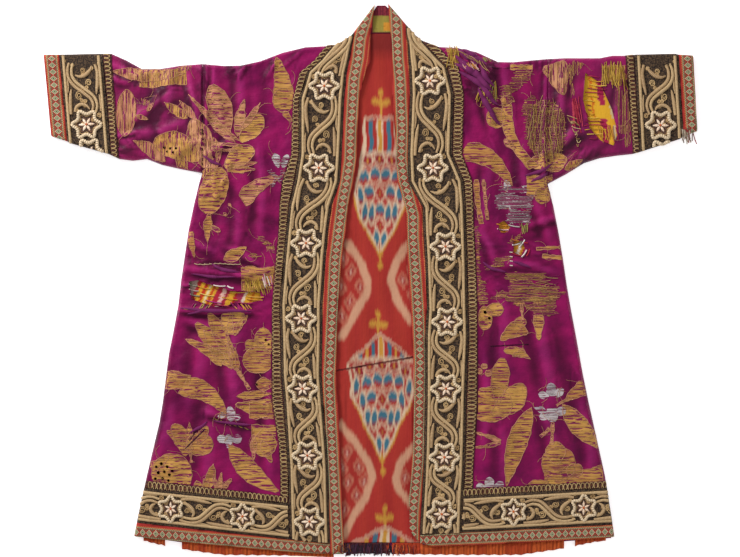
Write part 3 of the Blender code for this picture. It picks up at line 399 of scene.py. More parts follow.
STAR_GROUND = Ground("black_star_ground", roughness=0.9, dark="3A2820", light="8E6248", cover=(0.45, 0.8))
LADDER_GROUND = Ground("dark_braid_ground", roughness=0.9, dark="34181E", light="74442E", cover=(0.4, 0.7))
UNDER_BORDER = Ground("border_reverse", roughness=0.85, dark="2E1E16", light="A88A5C", stitch=4.5)
TAPE = DiamondTape("card_woven_diamond_tape", roughness=0.8, specular=0.25)
IKAT = Painted("ikat_cotton_lining", roughness=0.75, specular=0.25)
FACING = Painted("gathered_orange_cotton", roughness=0.85, specular=0.2, crumple=1.2, fade="5A1408")
STRIPED = Painted("striped_cotton_interlining", roughness=0.8, specular=0.25, crumple=0.8, fade="5A2A08")
PATCHED = Painted("patched_neck_cloth", roughness=0.8, specular=0.25, crumple=1.0)


# Soft ridges and troughs in the cloth: ends of each line in pixels, half width and height in millimetres
@dataclass(frozen=True)
class Crease:
    """One soft ridge, or a trough where its height is below zero."""

    x0: float
    y0: float
    x1: float
    y1: float
    width: float
    height: float


CREASES = tuple(Crease(*row) for row in (
    # Left sleeve
    (98, 62, 150, 78, 7, 1.6), (120, 58, 165, 92, 6, -1.0), (126, 120, 175, 96, 9, 1.8),
    (130, 140, 185, 122, 8, 1.5), (112, 130, 140, 150, 7, 1.2), (150, 68, 158, 150, 7, -1.0),
    (172, 70, 166, 120, 8, 1.5), (190, 75, 198, 130, 6, 1.8), (200, 140, 170, 160, 8, 1.7),
    (205, 158, 230, 140, 6, 2.0), (208, 62, 206, 130, 3, 1.4), (110, 95, 150, 100, 9, -0.9),
    (112, 78, 132, 84, 5, 1.4), (180, 100, 200, 118, 8, -0.9),
    # Left shoulder and chest
    (214, 70, 222, 130, 8, 1.6), (236, 60, 246, 120, 9, 1.5), (262, 70, 266, 130, 8, -0.9),
    (225, 130, 252, 168, 8, 1.6), (214, 165, 240, 205, 8, -1.0), (210, 150, 218, 200, 7, 1.6),
    (260, 150, 262, 230, 9, 1.5), (240, 190, 236, 250, 8, 1.2), (222, 200, 205, 240, 7, -1.0),
    (250, 215, 284, 225, 7, -0.8),
    # Left waist, with the puckered tear
    (186, 258, 232, 266, 5, -1.1), (190, 268, 250, 276, 6, 1.8), (200, 279, 262, 285, 5, -1.1),
    (182, 309, 252, 312, 5, 2.8), (186, 300, 240, 306, 4, -1.0), (188, 320, 226, 330, 7, 1.4),
    (212, 262, 246, 272, 4, -1.2), (228, 246, 256, 262, 6, 1.8), (240, 275, 272, 270, 5, 1.6),
    (186, 240, 216, 250, 6, 1.4),
    # Left skirt
    (238, 320, 232, 400, 12, 1.4), (204, 330, 190, 410, 14, 1.2), (258, 330, 262, 430, 11, -0.9),
    (180, 360, 168, 450, 11, 1.2), (214, 400, 204, 480, 13, 1.2), (240, 410, 244, 482, 12, -0.8),
    (270, 350, 268, 470, 9, 1.2), (162, 430, 156, 484, 8, 1.0), (190, 430, 180, 484, 10, -0.8),
    (212, 418, 250, 430, 4, -1.1), (206, 412, 244, 420, 6, 1.3),
    # Right shoulder and chest
    (482, 70, 492, 128, 7, 1.8), (470, 82, 468, 128, 7, -1.0), (504, 66, 512, 140, 9, 1.5),
    (530, 66, 535, 130, 8, -0.9), (545, 70, 543, 180, 4, 1.5), (520, 140, 528, 200, 9, 1.4),
    (488, 150, 484, 230, 9, 1.2), (500, 190, 506, 226, 7, -0.9), (548, 140, 536, 190, 8, 1.8),
    (534, 190, 548, 240, 8, 1.2), (480, 230, 496, 262, 8, 1.4), (514, 240, 540, 236, 5, -1.0),
    (528, 224, 556, 218, 6, 1.5), (505, 262, 552, 270, 7, 1.5), (482, 272, 520, 282, 7, -0.9),
    # Right sleeve
    (562, 72, 556, 140, 7, 1.8), (575, 66, 568, 100, 6, -1.0), (548, 150, 582, 130, 8, 1.8),
    (566, 160, 600, 148, 7, 1.4), (620, 70, 616, 128, 6, 1.5), (606, 66, 628, 80, 5, 1.4),
    (590, 152, 618, 140, 6, -0.9), (574, 118, 564, 150, 6, 1.2),
    # Right skirt
    (500, 300, 506, 372, 12, 1.2), (540, 300, 548, 390, 13, 1.4), (560, 330, 572, 420, 11, -0.9),
    (486, 350, 484, 450, 9, 1.2), (520, 380, 524, 470, 13, -0.8), (548, 410, 556, 478, 11, 1.3),
    (580, 400, 592, 470, 11, 1.2), (500, 430, 506, 480, 10, 1.0), (590, 380, 600, 440, 8, -0.8),
    (480, 300, 484, 340, 7, -0.9),
))

SIDE_BY_SIDE = (
    # Longer, lower waves that the borders share with the silk
    (338, 100, 296, 110, 14, 0.7), (330, 196, 284, 214, 12, 0.9), (324, 270, 276, 262, 13, 0.7),
    (322, 350, 274, 356, 14, -0.6), (330, 430, 280, 424, 13, 0.7), (410, 120, 460, 110, 14, 0.7),
    (420, 196, 462, 200, 12, 0.9), (428, 290, 470, 300, 13, -0.6), (430, 360, 472, 366, 14, 0.7),
    (424, 440, 468, 436, 13, 0.7),
)
@dataclass(frozen=True)
class Pucker:
    """A patch of short sharp folds, such as a drawn-up seam or a crushed sleeve, placed in photo pixels."""

    x: float
    y: float
    reach_x: float
    reach_y: float
    turn: float
    spread: float
    count: int
    height: float

    def folds(self, draw: np.random.RandomState) -> list[Crease]:
        """Places the folds of the patch.

        Args:
            draw: Where the random numbers come from.

        Returns:
            One crease for each fold.
        """
        made = []
        for _ in range(self.count):
            x = self.x + self.reach_x * draw.uniform(-1, 1)
            y = self.y + self.reach_y * draw.uniform(-1, 1)
            turn = math.radians(self.turn + self.spread * draw.uniform(-1, 1))
            half = draw.uniform(5, 14)
            width = draw.uniform(1.9, 3.6)
            height = self.height * draw.uniform(0.5, 1.3)
            dx, dy = half * math.cos(turn), half * math.sin(turn)
            made.append(Crease(x - dx, y - dy, x + dx, y + dy, width, height))
        return made


PUCKERS = tuple(Pucker(*row) for row in (
    # Left sleeve, shoulder, underarm, side, waist and skirt
    (155, 72, 42, 10, 100, 35, 16, 0.7), (160, 105, 40, 22, 150, 40, 12, 0.6), (165, 145, 48, 13, 20, 40, 18, 0.8),
    (255, 66, 45, 13, 120, 30, 24, 0.8), (208, 110, 9, 40, 80, 30, 13, 0.7), (212, 165, 18, 25, 100, 40, 14, 0.8),
    (205, 230, 18, 45, 100, 35, 12, 0.6), (250, 190, 28, 60, 90, 50, 14, 0.45), (225, 285, 48, 28, 0, 25, 26, 0.8),
    (225, 400, 52, 78, 95, 20, 14, 0.45),
    # Right shoulder, sleeve, underarm, chest, waist and skirt
    (477, 75, 15, 30, 60, 50, 24, 1.1), (525, 66, 40, 8, 110, 30, 18, 0.7), (505, 180, 26, 50, 90, 60, 14, 0.45),
    (595, 110, 38, 35, 80, 40, 15, 0.6), (560, 160, 30, 15, 150, 35, 17, 0.8), (515, 270, 42, 30, 10, 30, 16, 0.55),
    (535, 400, 48, 78, 85, 20, 14, 0.45),
))


def sharp_folds() -> tuple[Crease, ...]:
    """All the short folds, the same each time."""
    draw = np.random.RandomState(31)
    return tuple(crease for pucker in PUCKERS for crease in pucker.folds(draw))


WAVES = CREASES + tuple(Crease(*row) for row in SIDE_BY_SIDE) + sharp_folds()


def beside(crease: Crease, x: np.ndarray, y: np.ndarray) -> tuple[np.ndarray, np.ndarray]:
    """Where places lie beside a crease.

    Args:
        crease: The crease.
        x: Places in millimetres.
        y: Places in millimetres.

    Returns:
        How far across the crease each place is, in its widths, and how much of it reaches there.
    """
    (ax, ay), (bx, by) = spot(crease.x0, crease.y0), spot(crease.x1, crease.y1)
    run = math.hypot(bx - ax, by - ay)
    ux, uy = (bx - ax) / run, (by - ay) / run
    along = ((x - ax) * ux + (y - ay) * uy) / run
    off = (y - ay) * ux - (x - ax) * uy
    off = off + 0.22 * crease.width * np.sin(along * 5.0 + crease.x0)
    past = np.maximum(0.0, np.abs(along - 0.5) - 0.32) / 0.3
    return off / crease.width, np.exp(-1.8 * past ** 2)


def fold_shade(x: np.ndarray, y: np.ndarray) -> tuple[np.ndarray, np.ndarray]:
    """Where painted shade lies beside the folds and in their troughs, heavier on one side of each ridge, and where
    painted highlight lies along the ridges.

    Args:
        x: Places in millimetres.
        y: Places in millimetres.

    Returns:
        The share of painted shade and the share of painted highlight at each place.
    """
    dark, pale = np.zeros_like(x), np.zeros_like(x)
    for crease in WAVES:
        off, reach = beside(crease, x, y)
        high = abs(crease.height)
        if crease.height > 0:
            # Painted shade on both sides of a ridge, heavier on one side, and painted highlight along its crest
            dark += 0.34 * high * reach * np.exp(-2.6 * (np.abs(off) - 1.2) ** 2) * (1.0 + 0.5 * np.sign(-off))
            pale += 0.26 * high * reach * np.exp(-3.0 * off ** 2)
        else:
            dark += 0.5 * high * reach * np.exp(-1.6 * off ** 2)
    return np.clip(dark - 0.5 * pale, 0.0, 0.85), np.clip(pale - 0.5 * dark, 0.0, 0.5)


def swell(x: np.ndarray, y: np.ndarray) -> np.ndarray:
    """How far the creases lift or lower the top of the cloth.

    Args:
        x: Places in millimetres.
        y: Places in millimetres.

    Returns:
        The change of height in millimetres.
    """
    lift = np.zeros_like(x)
    for crease in WAVES:
        off, reach = beside(crease, x, y)
        lift += crease.height * reach * np.exp(-1.6 * off ** 2)
    for angle, length, height, shift in ((0.3, 23, 0.16, 0.0), (1.1, 31, 0.18, 1.3), (1.9, 17, 0.12, 2.1),
                                         (2.6, 27, 0.15, 0.7), (0.8, 13, 0.08, 1.9), (2.2, 11, 0.07, 0.2)):
        lift += height * np.sin((x * math.cos(angle) + y * math.sin(angle)) * 2 * math.pi / length + shift)
    return np.maximum(1.5 * lift, -1.15)


def slice_faces(bm: bmesh.types.BMesh, faces: list, axis: int, cuts: Sequence[float]) -> None:
    """Cuts faces along many parallel planes, halving the work at each plane.

    Args:
        bm: The mesh.
        faces: Its faces that are cut.
        axis: 0 for planes across X, 1 for planes across Y.
        cuts: Rising places of the planes, in metres.
    """
    if not cuts or not faces:
        return
    middle = len(cuts) // 2
    place = [0.0, 0.0, 0.0]
    normal = [0.0, 0.0, 0.0]
    place[axis] = cuts[middle]
    normal[axis] = 1.0
    edges = list(dict.fromkeys(e for f in faces for e in f.edges))
    corners = list(dict.fromkeys(v for f in faces for v in f.verts))
    done = bmesh.ops.bisect_plane(bm, geom=faces + edges + corners, dist=2e-6, plane_co=place, plane_no=normal)
    cut = [g for g in done["geom"] if isinstance(g, bmesh.types.BMFace)]
    low = []
    high = []
    for face in cut:
        (low if face.calc_center_bounds()[axis] < cuts[middle] else high).append(face)
    slice_faces(bm, low, axis, cuts[:middle])
    slice_faces(bm, high, axis, cuts[middle + 1:])


def steps(low: float, high: float, cell: float) -> list[float]:
    """Evenly spaced places strictly between two ends, in metres."""
    count = max(1, round((high - low) / (cell * MM)))
    return [low + (high - low) * i / count for i in range(1, count)]


Painter = Callable[[np.ndarray, np.ndarray], np.ndarray]


@dataclass
class Sheet:
    """One piece of cloth: its solid cut into small cells, creased, and given its finish.

    A piece may be flattened above a height, so that cords can be laid on it one by one.
    """

    node: str
    finish: Finish
    slot: str
    cell: float = 6.0
    creased: bool = True
    flat_above: float | None = None
    rests_on: tuple[str, ...] = ()
    paint: Painter | None = None
    window: tuple[float, float, float] | None = None
    ripple: Callable[[np.ndarray, np.ndarray, np.ndarray], np.ndarray] | None = None
    uv: Callable[[np.ndarray, np.ndarray], tuple[np.ndarray, np.ndarray]] | None = None
    laid_on_it: list = field(default_factory=list)
    piece: bpy.types.Object | None = None

    def build(self) -> bpy.types.Object:
        """Makes the piece.

        Returns:
            The finished object.
        """
        low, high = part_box(self.node)
        bm = bmesh.new()
        bm.from_mesh(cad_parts[self.node].data)
        bmesh.ops.remove_doubles(bm, verts=bm.verts, dist=1e-5)
        up = [f for f in bm.faces if f.normal.z > 0.05]
        cuts_x = steps(low.x, high.x, self.cell)
        if self.window:
            cuts_x = [c for c in cuts_x if self.window[0] < c / MM < self.window[1]]
            fine = round((self.window[1] - self.window[0]) / self.window[2])
            start, end = self.window[0] * MM, self.window[1] * MM
            cuts_x = [start + (end - start) * i / fine for i in range(fine + 1)]
        slice_faces(bm, up, 0, cuts_x)
        up = [f for f in bm.faces if f.normal.z > 0.05]
        cuts_y = steps(low.y, high.y, self.window[2] if self.window else self.cell)
        if self.window:
            up = [f for f in up if self.window[0] * MM < f.calc_center_bounds().x < self.window[1] * MM]
        slice_faces(bm, up, 1, cuts_y)
        mesh = bpy.data.meshes.new(self.node)
        upward = np.zeros(len(bm.verts))
        bm.verts.index_update()
        for face in bm.faces:
            if face.normal.z > 0.05:
                for vert in face.verts:
                    upward[vert.index] = 1.0
        bm.to_mesh(mesh)
        bm.free()
        self.shape(mesh, upward)
        if isinstance(self.finish, Silk):
            self.shade(mesh)
        if self.paint:
            self.colour(mesh)
        if self.uv:
            self.unwrap(mesh)
        mesh.materials.clear()
        mesh.materials.append(self.finish.material())
        mesh.polygons.foreach_set("use_smooth", np.ones(len(mesh.polygons), bool))
        mesh.set_sharp_from_angle(angle=math.radians(50))
        mesh.update()
        self.piece = bpy.data.objects.new(self.node + "_cloth", mesh)
        bpy.context.scene.collection.objects.link(self.piece)
        log.info("%s: %d faces", self.piece.name, len(mesh.polygons))
        return self.piece

    def shape(self, mesh: bpy.types.Mesh, upward: np.ndarray) -> None:
        """Moves the upper points of the wall by the creases and the piece's own ripple.

        Args:
            mesh: The sliced mesh.
            upward: One for each point of the upper side, zero for the others.
        """
        co = np.zeros(len(mesh.vertices) * 3, np.float32)
        mesh.vertices.foreach_get("co", co)
        co = co.reshape(-1, 3).astype(float)
        x, y, z = co[:, 0] / MM, co[:, 1] / MM, co[:, 2] / MM
        if self.flat_above is not None:
            z = np.where(z > self.flat_above, self.flat_above + 0.08 * (z - self.flat_above), z)
        if self.creased:
            share = np.clip((z - 1.8) / 3.6, 0.0, 1.0)
            z = z + upward * swell(x, y) * share * share * (3 - 2 * share)
        if self.ripple:
            z = z + upward * self.ripple(x, y, z)
        co[:, 2] = z * MM
        mesh.vertices.foreach_set("co", co.astype(np.float32).ravel())

    def shade(self, mesh: bpy.types.Mesh) -> None:
        """Keeps the share of painted shade and of painted highlight at each point of the silk."""
        co = np.zeros(len(mesh.vertices) * 3, np.float32)
        mesh.vertices.foreach_get("co", co)
        co = co.reshape(-1, 3).astype(float)
        for name, share in zip(("fold", "ridge"), fold_shade(co[:, 0] / MM, co[:, 1] / MM)):
            mesh.attributes.new(name, "FLOAT", "POINT").data.foreach_set("value", share.astype(np.float32))

    def colour(self, mesh: bpy.types.Mesh) -> None:
        """Charts the colours on the points."""
        co = np.zeros(len(mesh.vertices) * 3, np.float32)
        mesh.vertices.foreach_get("co", co)
        co = co.reshape(-1, 3).astype(float)
        shades = self.paint(co[:, 0] / PIXEL / MM + MIDDLE[0], MIDDLE[1] - co[:, 1] / PIXEL / MM)
        layer = mesh.color_attributes.new("paint", "FLOAT_COLOR", "POINT")
        layer.data.foreach_set("color", shades.astype(np.float32).ravel())

    def unwrap(self, mesh: bpy.types.Mesh) -> None:
        """Gives the piece a UV map with the places along and across it, in millimetres."""
        co = np.zeros(len(mesh.vertices) * 3, np.float32)
        mesh.vertices.foreach_get("co", co)
        co = co.reshape(-1, 3).astype(float)
        along, across = self.uv(co[:, 0] / MM, co[:, 1] / MM)
        corner = np.zeros(len(mesh.loops), np.int32)
        mesh.loops.foreach_get("vertex_index", corner)
        layer = mesh.uv_layers.new(name="tape")
        both = np.stack([along[corner], across[corner]], 1).astype(np.float32)
        layer.data.foreach_set("uv", both.ravel())

    def hand_over(self) -> None:
        """Lets the piece ride on the robe's body and stand for its solid, whose part is hidden."""
        low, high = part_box(self.node)
        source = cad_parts[self.node].data
        area = sum(f.area * f.normal.z for f in source.polygons if f.normal.z > 0)
        length = max(high.x - low.x, high.y - low.y)
        width = max(area / length * 1.02, LEAST_FLAT)
        area = max(area, 0.31 * width * length)
        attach(self.piece, BODY)
        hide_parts(self.node)


class Drape:
    """Finds the top of the finished cloth at any place."""

    def __init__(self, sheets: Iterable[Sheet]) -> None:
        """Gathers the sheets' meshes.

        Args:
            sheets: The finished sheets.
        """
        self.trees = {}
        for sheet in sheets:
            mesh = sheet.piece.data
            places = [v.co.copy() for v in mesh.vertices]
            faces = [tuple(p.vertices) for p in mesh.polygons]
            low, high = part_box(sheet.node)
            self.trees[sheet.node] = (BVHTree.FromPolygons(places, faces), low, high)

    def top(self, x: float, y: float, among: Iterable[str] | None = None) -> tuple[float, str]:
        """The highest cloth at a place.

        Args:
            x: The place in millimetres.
            y: The place in millimetres.
            among: The sheets that count, or all of them.

        Returns:
            Its height in millimetres and its name, which is empty where there is none.
        """
        best, name = -1.0, ""
        for node in (among or self.trees):
            tree, low, high = self.trees[node]
            if not (low.x <= x * MM <= high.x and low.y <= y * MM <= high.y):
                continue
            hit = tree.ray_cast(Vector((x * MM, y * MM, 0.05)), Vector((0, 0, -1)))[0]
            if hit is not None and hit.z / MM > best:
                best, name = hit.z / MM, node
        return best, name


@dataclass
class Strand:
    """One cord or thread: points on the cloth with a radius and a tone at each."""

    points: list[tuple[float, float, float]]
    radii: list[float]
    tone: float = 0.5
    paint: str = ""


def cord_tree() -> bpy.types.NodeTree:
    """The geometry tree that sweeps a flattened round along each strand.

    Returns:
        The tree, kept after the first call.
    """
    kept = bpy.data.node_groups.get("laid_cord")
    if kept:
        return kept
    tree = bpy.data.node_groups.new("laid_cord", "GeometryNodeTree")
    face = tree.interface
    face.new_socket("Strands", in_out="INPUT", socket_type="NodeSocketGeometry")
    face.new_socket("Sides", in_out="INPUT", socket_type="NodeSocketInt").default_value = 6
    face.new_socket("Flatness", in_out="INPUT", socket_type="NodeSocketFloat").default_value = 0.6
    face.new_socket("Finish", in_out="INPUT", socket_type="NodeSocketMaterial")
    face.new_socket("Cords", in_out="OUTPUT", socket_type="NodeSocketGeometry")
    given = add_node(tree, "NodeGroupInput").outputs
    curve = add_node(tree, "GeometryNodeMeshToCurve", links={"Mesh": given["Strands"]}).outputs[0]
    level = add_node(tree, "GeometryNodeSetCurveNormal", {"mode": "Z_UP"}, {"Curve": curve}).outputs[0]
    ring = add_node(tree, "GeometryNodeCurvePrimitiveCircle", {"Radius": 1.0}, {"Resolution": given["Sides"]})
    size = add_node(tree, "ShaderNodeCombineXYZ", {"X": 1.0, "Z": 1.0}, {"Y": given["Flatness"]}).outputs[0]
    section = add_node(tree, "GeometryNodeTransform", links={"Geometry": ring.outputs[0], "Scale": size}).outputs[0]
    radius = add_node(tree, "GeometryNodeInputNamedAttribute", {"data_type": "FLOAT", "Name": "radius"}).outputs[0]
    swept = add_node(tree, "GeometryNodeCurveToMesh", {"Fill Caps": True},
                     {"Curve": level, "Profile Curve": section, "Scale": radius}).outputs[0]
    smooth = add_node(tree, "GeometryNodeSetShadeSmooth", links={"Geometry": swept}).outputs[0]
    real = add_node(tree, "GeometryNodeRealizeInstances", links={"Geometry": smooth}).outputs[0]
    dressed = add_node(tree, "GeometryNodeSetMaterial", links={"Geometry": real, "Material": given["Finish"]})
    add_node(tree, "NodeGroupOutput", links={0: dressed.outputs[0]})
    return tree


def lay_cords(name: str, strands: Sequence[Strand], finish: Finish, sides: int = 6,
              flatness: float = 0.6) -> bpy.types.Object | None:
    """Sweeps strands into one piece.

    Args:
        name: The piece's name.
        strands: The strands.
        finish: Their finish.
        sides: Corners of the cord's section.
        flatness: The section's height over its width.

    Returns:
        The finished piece, or nothing where there are no strands.
    """
    strands = [s for s in strands if len(s.points) > 1]
    if not strands:
        return None
    places, links, radii, tones, alongs, shades = [], [], [], [], [], []
    for strand in strands:
        start = len(places)
        run = 0.0
        last = None
        shade = linear(strand.paint) if strand.paint else (1.0, 1.0, 1.0, 1.0)
        for index, (point, radius) in enumerate(zip(strand.points, strand.radii)):
            if last is not None:
                run += math.dist(point, last)
                links.append((start + index - 1, start + index))
            last = point
            places.append([c * MM for c in point])
            radii.append(radius * MM)
            tones.append(strand.tone)
            alongs.append(run)
            shades.extend(shade)
    mesh = bpy.data.meshes.new(name + "_strands")
    mesh.from_pydata(places, links, [])
    for label, values in (("radius", radii), ("tone", tones), ("along", alongs)):
        mesh.attributes.new(label, "FLOAT", "POINT").data.foreach_set("value", values)
    mesh.attributes.new("paint", "FLOAT_COLOR", "POINT").data.foreach_set("color", shades)
    piece = bpy.data.objects.new(name, mesh)
    bpy.context.scene.collection.objects.link(piece)
    tree = cord_tree()
    sockets = {s.name: s.identifier for s in tree.interface.items_tree if s.in_out == "INPUT"}
    modifier = piece.modifiers.new("laid", "NODES")
    modifier.node_group = tree
    modifier[sockets["Sides"]] = sides
    modifier[sockets["Flatness"]] = flatness
    modifier[sockets["Finish"]] = finish.material()
    graph = bpy.context.evaluated_depsgraph_get()
    plain = bpy.data.meshes.new_from_object(piece.evaluated_get(graph), preserve_all_data_layers=True,
                                            depsgraph=graph)
    piece.modifiers.remove(modifier)
    piece.data = plain
    plain.name = name
    if not plain.materials:
        plain.materials.append(finish.material())
    bpy.data.meshes.remove(mesh)
    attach(piece, BODY)
    log.info("%s: %d strands, %d faces", name, len(strands), len(plain.polygons))
    return piece


def smooth_line(points: Sequence[Sequence[float]], step: float) -> np.ndarray:
    """A smooth curve through points.

    Args:
        points: Rows whose first two columns are a place; further columns are carried along.
        step: The spacing of the result.

    Returns:
        The rows of the curve.
    """
    rows = np.asarray(points, float)
    if len(rows) == 2:
        count = max(2, math.ceil(np.linalg.norm(rows[1, :2] - rows[0, :2]) / step) + 1)
        share = np.linspace(0, 1, count)[:, None]
        return rows[0] * (1 - share) + rows[1] * share
    padded = np.vstack([2 * rows[0] - rows[1], rows, 2 * rows[-1] - rows[-2]])
    made = []
    for i in range(1, len(padded) - 2):
        a, b, c, d = padded[i - 1:i + 3]
        count = max(1, math.ceil(np.linalg.norm(c[:2] - b[:2]) / step))
        for k in range(count):
            t = k / count
            made.append(0.5 * (2 * b + (c - a) * t + (2 * a - 5 * b + 4 * c - d) * t * t
                               + (3 * b - a - 3 * c + d) * t ** 3))
    made.append(rows[-1])
    return np.array(made)


def table_at(table: Sequence[Sequence[float]], place: float) -> np.ndarray:
    """Reads a table of falling or rising first values at a place between its rows.

    Args:
        table: The rows; the first column is the place.
        place: Where to read.

    Returns:
        The other columns.
    """
    rows = np.array(sorted(table), float)
    return np.array([np.interp(place, rows[:, 0], rows[:, i]) for i in range(1, rows.shape[1])])


# Upright lines of each front in millimetres: height, outer edge of the ladder braid, the two rails, front edge
LEFT_LINES = (
    (330, -50, -36, -23, 5), (293, -50, -36, -23, 0), (284, -50, -38, -25, 0), (262, -68, -57, -29, 0),
    (248, -85, -72, -32, -6), (216, -93, -82, -35, -14), (150, -95, -82, -38, -16), (118, -106, -87, -40, -20),
    (89, -109, -94, -50, -27), (60, -110, -97, -54, -29), (28, -113, -100, -57, -34), (-30, -118, -105, -61, -39),
    (-62, -118, -104, -61, -40), (-114, -118, -103, -62, -41), (-146, -118, -100, -60, -39),
    (-194, -110, -97, -56, -37), (-226, -108, -95, -54, -35), (-273, -108, -94, -53, -34),
    (-305, -108, -93, -52, -32), (-335, -108, -93, -51, -31),
)
RIGHT_LINES = (
    (331, 74, 56, 46, 21), (302, 74, 56, 46, 23), (297, 74, 56, 46, 24), (283, 78, 60, 48, 26),
    (265, 94, 77, 49, 26), (254, 106, 88, 50, 27), (222, 112, 96, 51, 26), (150, 110, 94, 48, 31),
    (118, 122, 108, 49, 32), (87, 123, 110, 66, 42), (56, 124, 111, 67, 44), (24, 126, 112, 69, 44),
    (-34, 128, 113, 71, 48), (-66, 128, 114, 69, 50), (-114, 128, 112, 69, 52), (-146, 128, 111, 69, 52),
    (-196, 125, 110, 68, 51), (-228, 123, 109, 67, 49), (-264, 123, 107, 65, 46), (-296, 123, 106, 63, 47),
    (-330, 123, 105, 61, 47),
)
# Middle of the diamond band on each front: height and place
LEFT_BAND = (
    (340, 0), (322, -3), (288, -12.6), (264, -15), (240, -19.8), (180, -23.4), (144, -24.6), (120, -28.2),
    (96, -33), (60, -37.8), (24, -42.6), (-24, -45), (-120, -49.8), (-192, -46.2), (-264, -42.6), (-300, -40.2),
    (-340, -38),
)
RIGHT_BAND = (
    (340, 29), (324, 30), (264, 33), (240, 35.4), (180, 37.8), (144, 36.6), (120, 40.2), (96, 46.2), (78, 51),
    (48, 51), (0, 54.6), (-48, 57.6), (-96, 59.4), (-168, 58.2), (-216, 57), (-252, 53.4), (-276, 51),
    (-330, 50),
)


def front_tape_uv(band: Sequence[Sequence[float]], inward: float) -> Callable:
    """The tape's map on a front: along it, and across it from the middle of the band.

    Args:
        band: The middle of the band by height.
        inward: 1 where the front edge lies towards +X.

    Returns:
        The function from places to the map.
    """
    def mapped(x: np.ndarray, y: np.ndarray) -> tuple[np.ndarray, np.ndarray]:
        rows = np.array(sorted(band), float)
        return -y, (x - np.interp(y, rows[:, 0], rows[:, 1])) * inward
    return mapped


def hem_tape_uv(start: Point, end: Point) -> Callable:
    """The tape's map along a hem.

    Args:
        start: One end of the band's middle line.
        end: Its other end.

    Returns:
        The function from places to the map.
    """
    slope = (end[1] - start[1]) / (end[0] - start[0])

    def mapped(x: np.ndarray, y: np.ndarray) -> tuple[np.ndarray, np.ndarray]:
        return x, y - (start[1] + (x - start[0]) * slope)
    return mapped


def cuff_tape_uv(top: Point, low: Point) -> Callable:
    """The tape's map down a cuff.

    Args:
        top: The upper end of the band's middle line.
        low: Its lower end.

    Returns:
        The function from places to the map.
    """
    slope = (low[0] - top[0]) / (low[1] - top[1])

    def mapped(x: np.ndarray, y: np.ndarray) -> tuple[np.ndarray, np.ndarray]:
        return -y, x - (top[0] + (y - top[1]) * slope)
    return mapped


def mixed(shades: np.ndarray, where: np.ndarray, code: str, share: float | np.ndarray = 1.0) -> None:
    """Lays a colour over charted colours.

    Args:
        shades: The colours so far, changed in place.
        where: Which points take it, or how strongly from 0 to 1.
        code: The colour's hex value.
        share: How much of it shows.
    """
    weight = (np.asarray(where, float) * share)[:, None]
    shades[:] = shades * (1 - weight) + np.array(linear(code)) * weight


def near_line(x: np.ndarray, y: np.ndarray, line: Points) -> tuple[np.ndarray, np.ndarray]:
    """How far points lie from a line of several stretches.

    Args:
        x: Their places.
        y: Their places.
        line: The corners of the line.

    Returns:
        The distance, and the length along the line at the nearest place.
    """
    best = np.full_like(x, 1e9)
    along = np.zeros_like(x)
    run = 0.0
    for (ax, ay), (bx, by) in zip(line, line[1:]):
        length = math.hypot(bx - ax, by - ay)
        share = np.clip(((x - ax) * (bx - ax) + (y - ay) * (by - ay)) / length ** 2, 0, 1)
        off = np.hypot(x - ax - share * (bx - ax), y - ay - share * (by - ay))
        along = np.where(off < best, run + share * length, along)
        best = np.minimum(best, off)
        run += length
    return best, along


def inside(x: np.ndarray, y: np.ndarray, outline: Points) -> np.ndarray:
    """Which points lie inside a closed outline.

    Args:
        x: Their places.
        y: Their places.
        outline: Its corners.

    Returns:
        True for each point inside.
    """
    found = np.zeros(x.shape, bool)
    for (ax, ay), (bx, by) in zip(outline, list(outline[1:]) + [outline[0]]):
        if ay == by:
            continue
        crosses = (ay > y) != (by > y)
        found ^= crosses & (x < (bx - ax) * (y - ay) / (by - ay) + ax)
    return found


def hashed(values: np.ndarray, seed: float) -> np.ndarray:
    """The same scattered numbers from -1 to 1 for the same whole values."""
    return 2 * ((np.sin(np.floor(values) * 12.9898 + seed) * 43758.5453) % 1.0) - 1


class Ikat(Enum):
    """The small figures inside a medallion of the lining."""

    RING = "ring"
    TULIP = "tulip"
    DIAMOND = "diamond"
    LOZENGE = "lozenge"


@dataclass(frozen=True)
class Medallion:
    """One pointed medallion: its axis, the Y of its rings, its outline below and above them, and its bars.

    The outline gives half widths by the distance below the rings, and the bars give colours by the distance from
    the axis, both in pixels.
    """

    axis: float
    rings: float
    outline: tuple[tuple[float, float], ...]
    head: float
    slope: float
    bars: tuple[tuple[float, str], ...]


MEDALLION_FIGURES = (
    (Ikat.RING, 0.0, -2.0), (Ikat.RING, 12.0, -0.5), (Ikat.RING, 23.0, 5.0), (Ikat.TULIP, 5.2, 14.5),
    (Ikat.TULIP, 16.0, 17.0), (Ikat.LOZENGE, 26.5, 22.0), (Ikat.DIAMOND, 0.0, 32.0), (Ikat.TULIP, 10.6, 32.5),
    (Ikat.LOZENGE, 19.5, 35.0), (Ikat.TULIP, 0.0, 50.0), (Ikat.LOZENGE, 8.2, 53.0), (Ikat.LOZENGE, 15.0, 52.0),
    (Ikat.DIAMOND, 0.0, 64.5), (Ikat.LOZENGE, 3.8, 79.0),
)


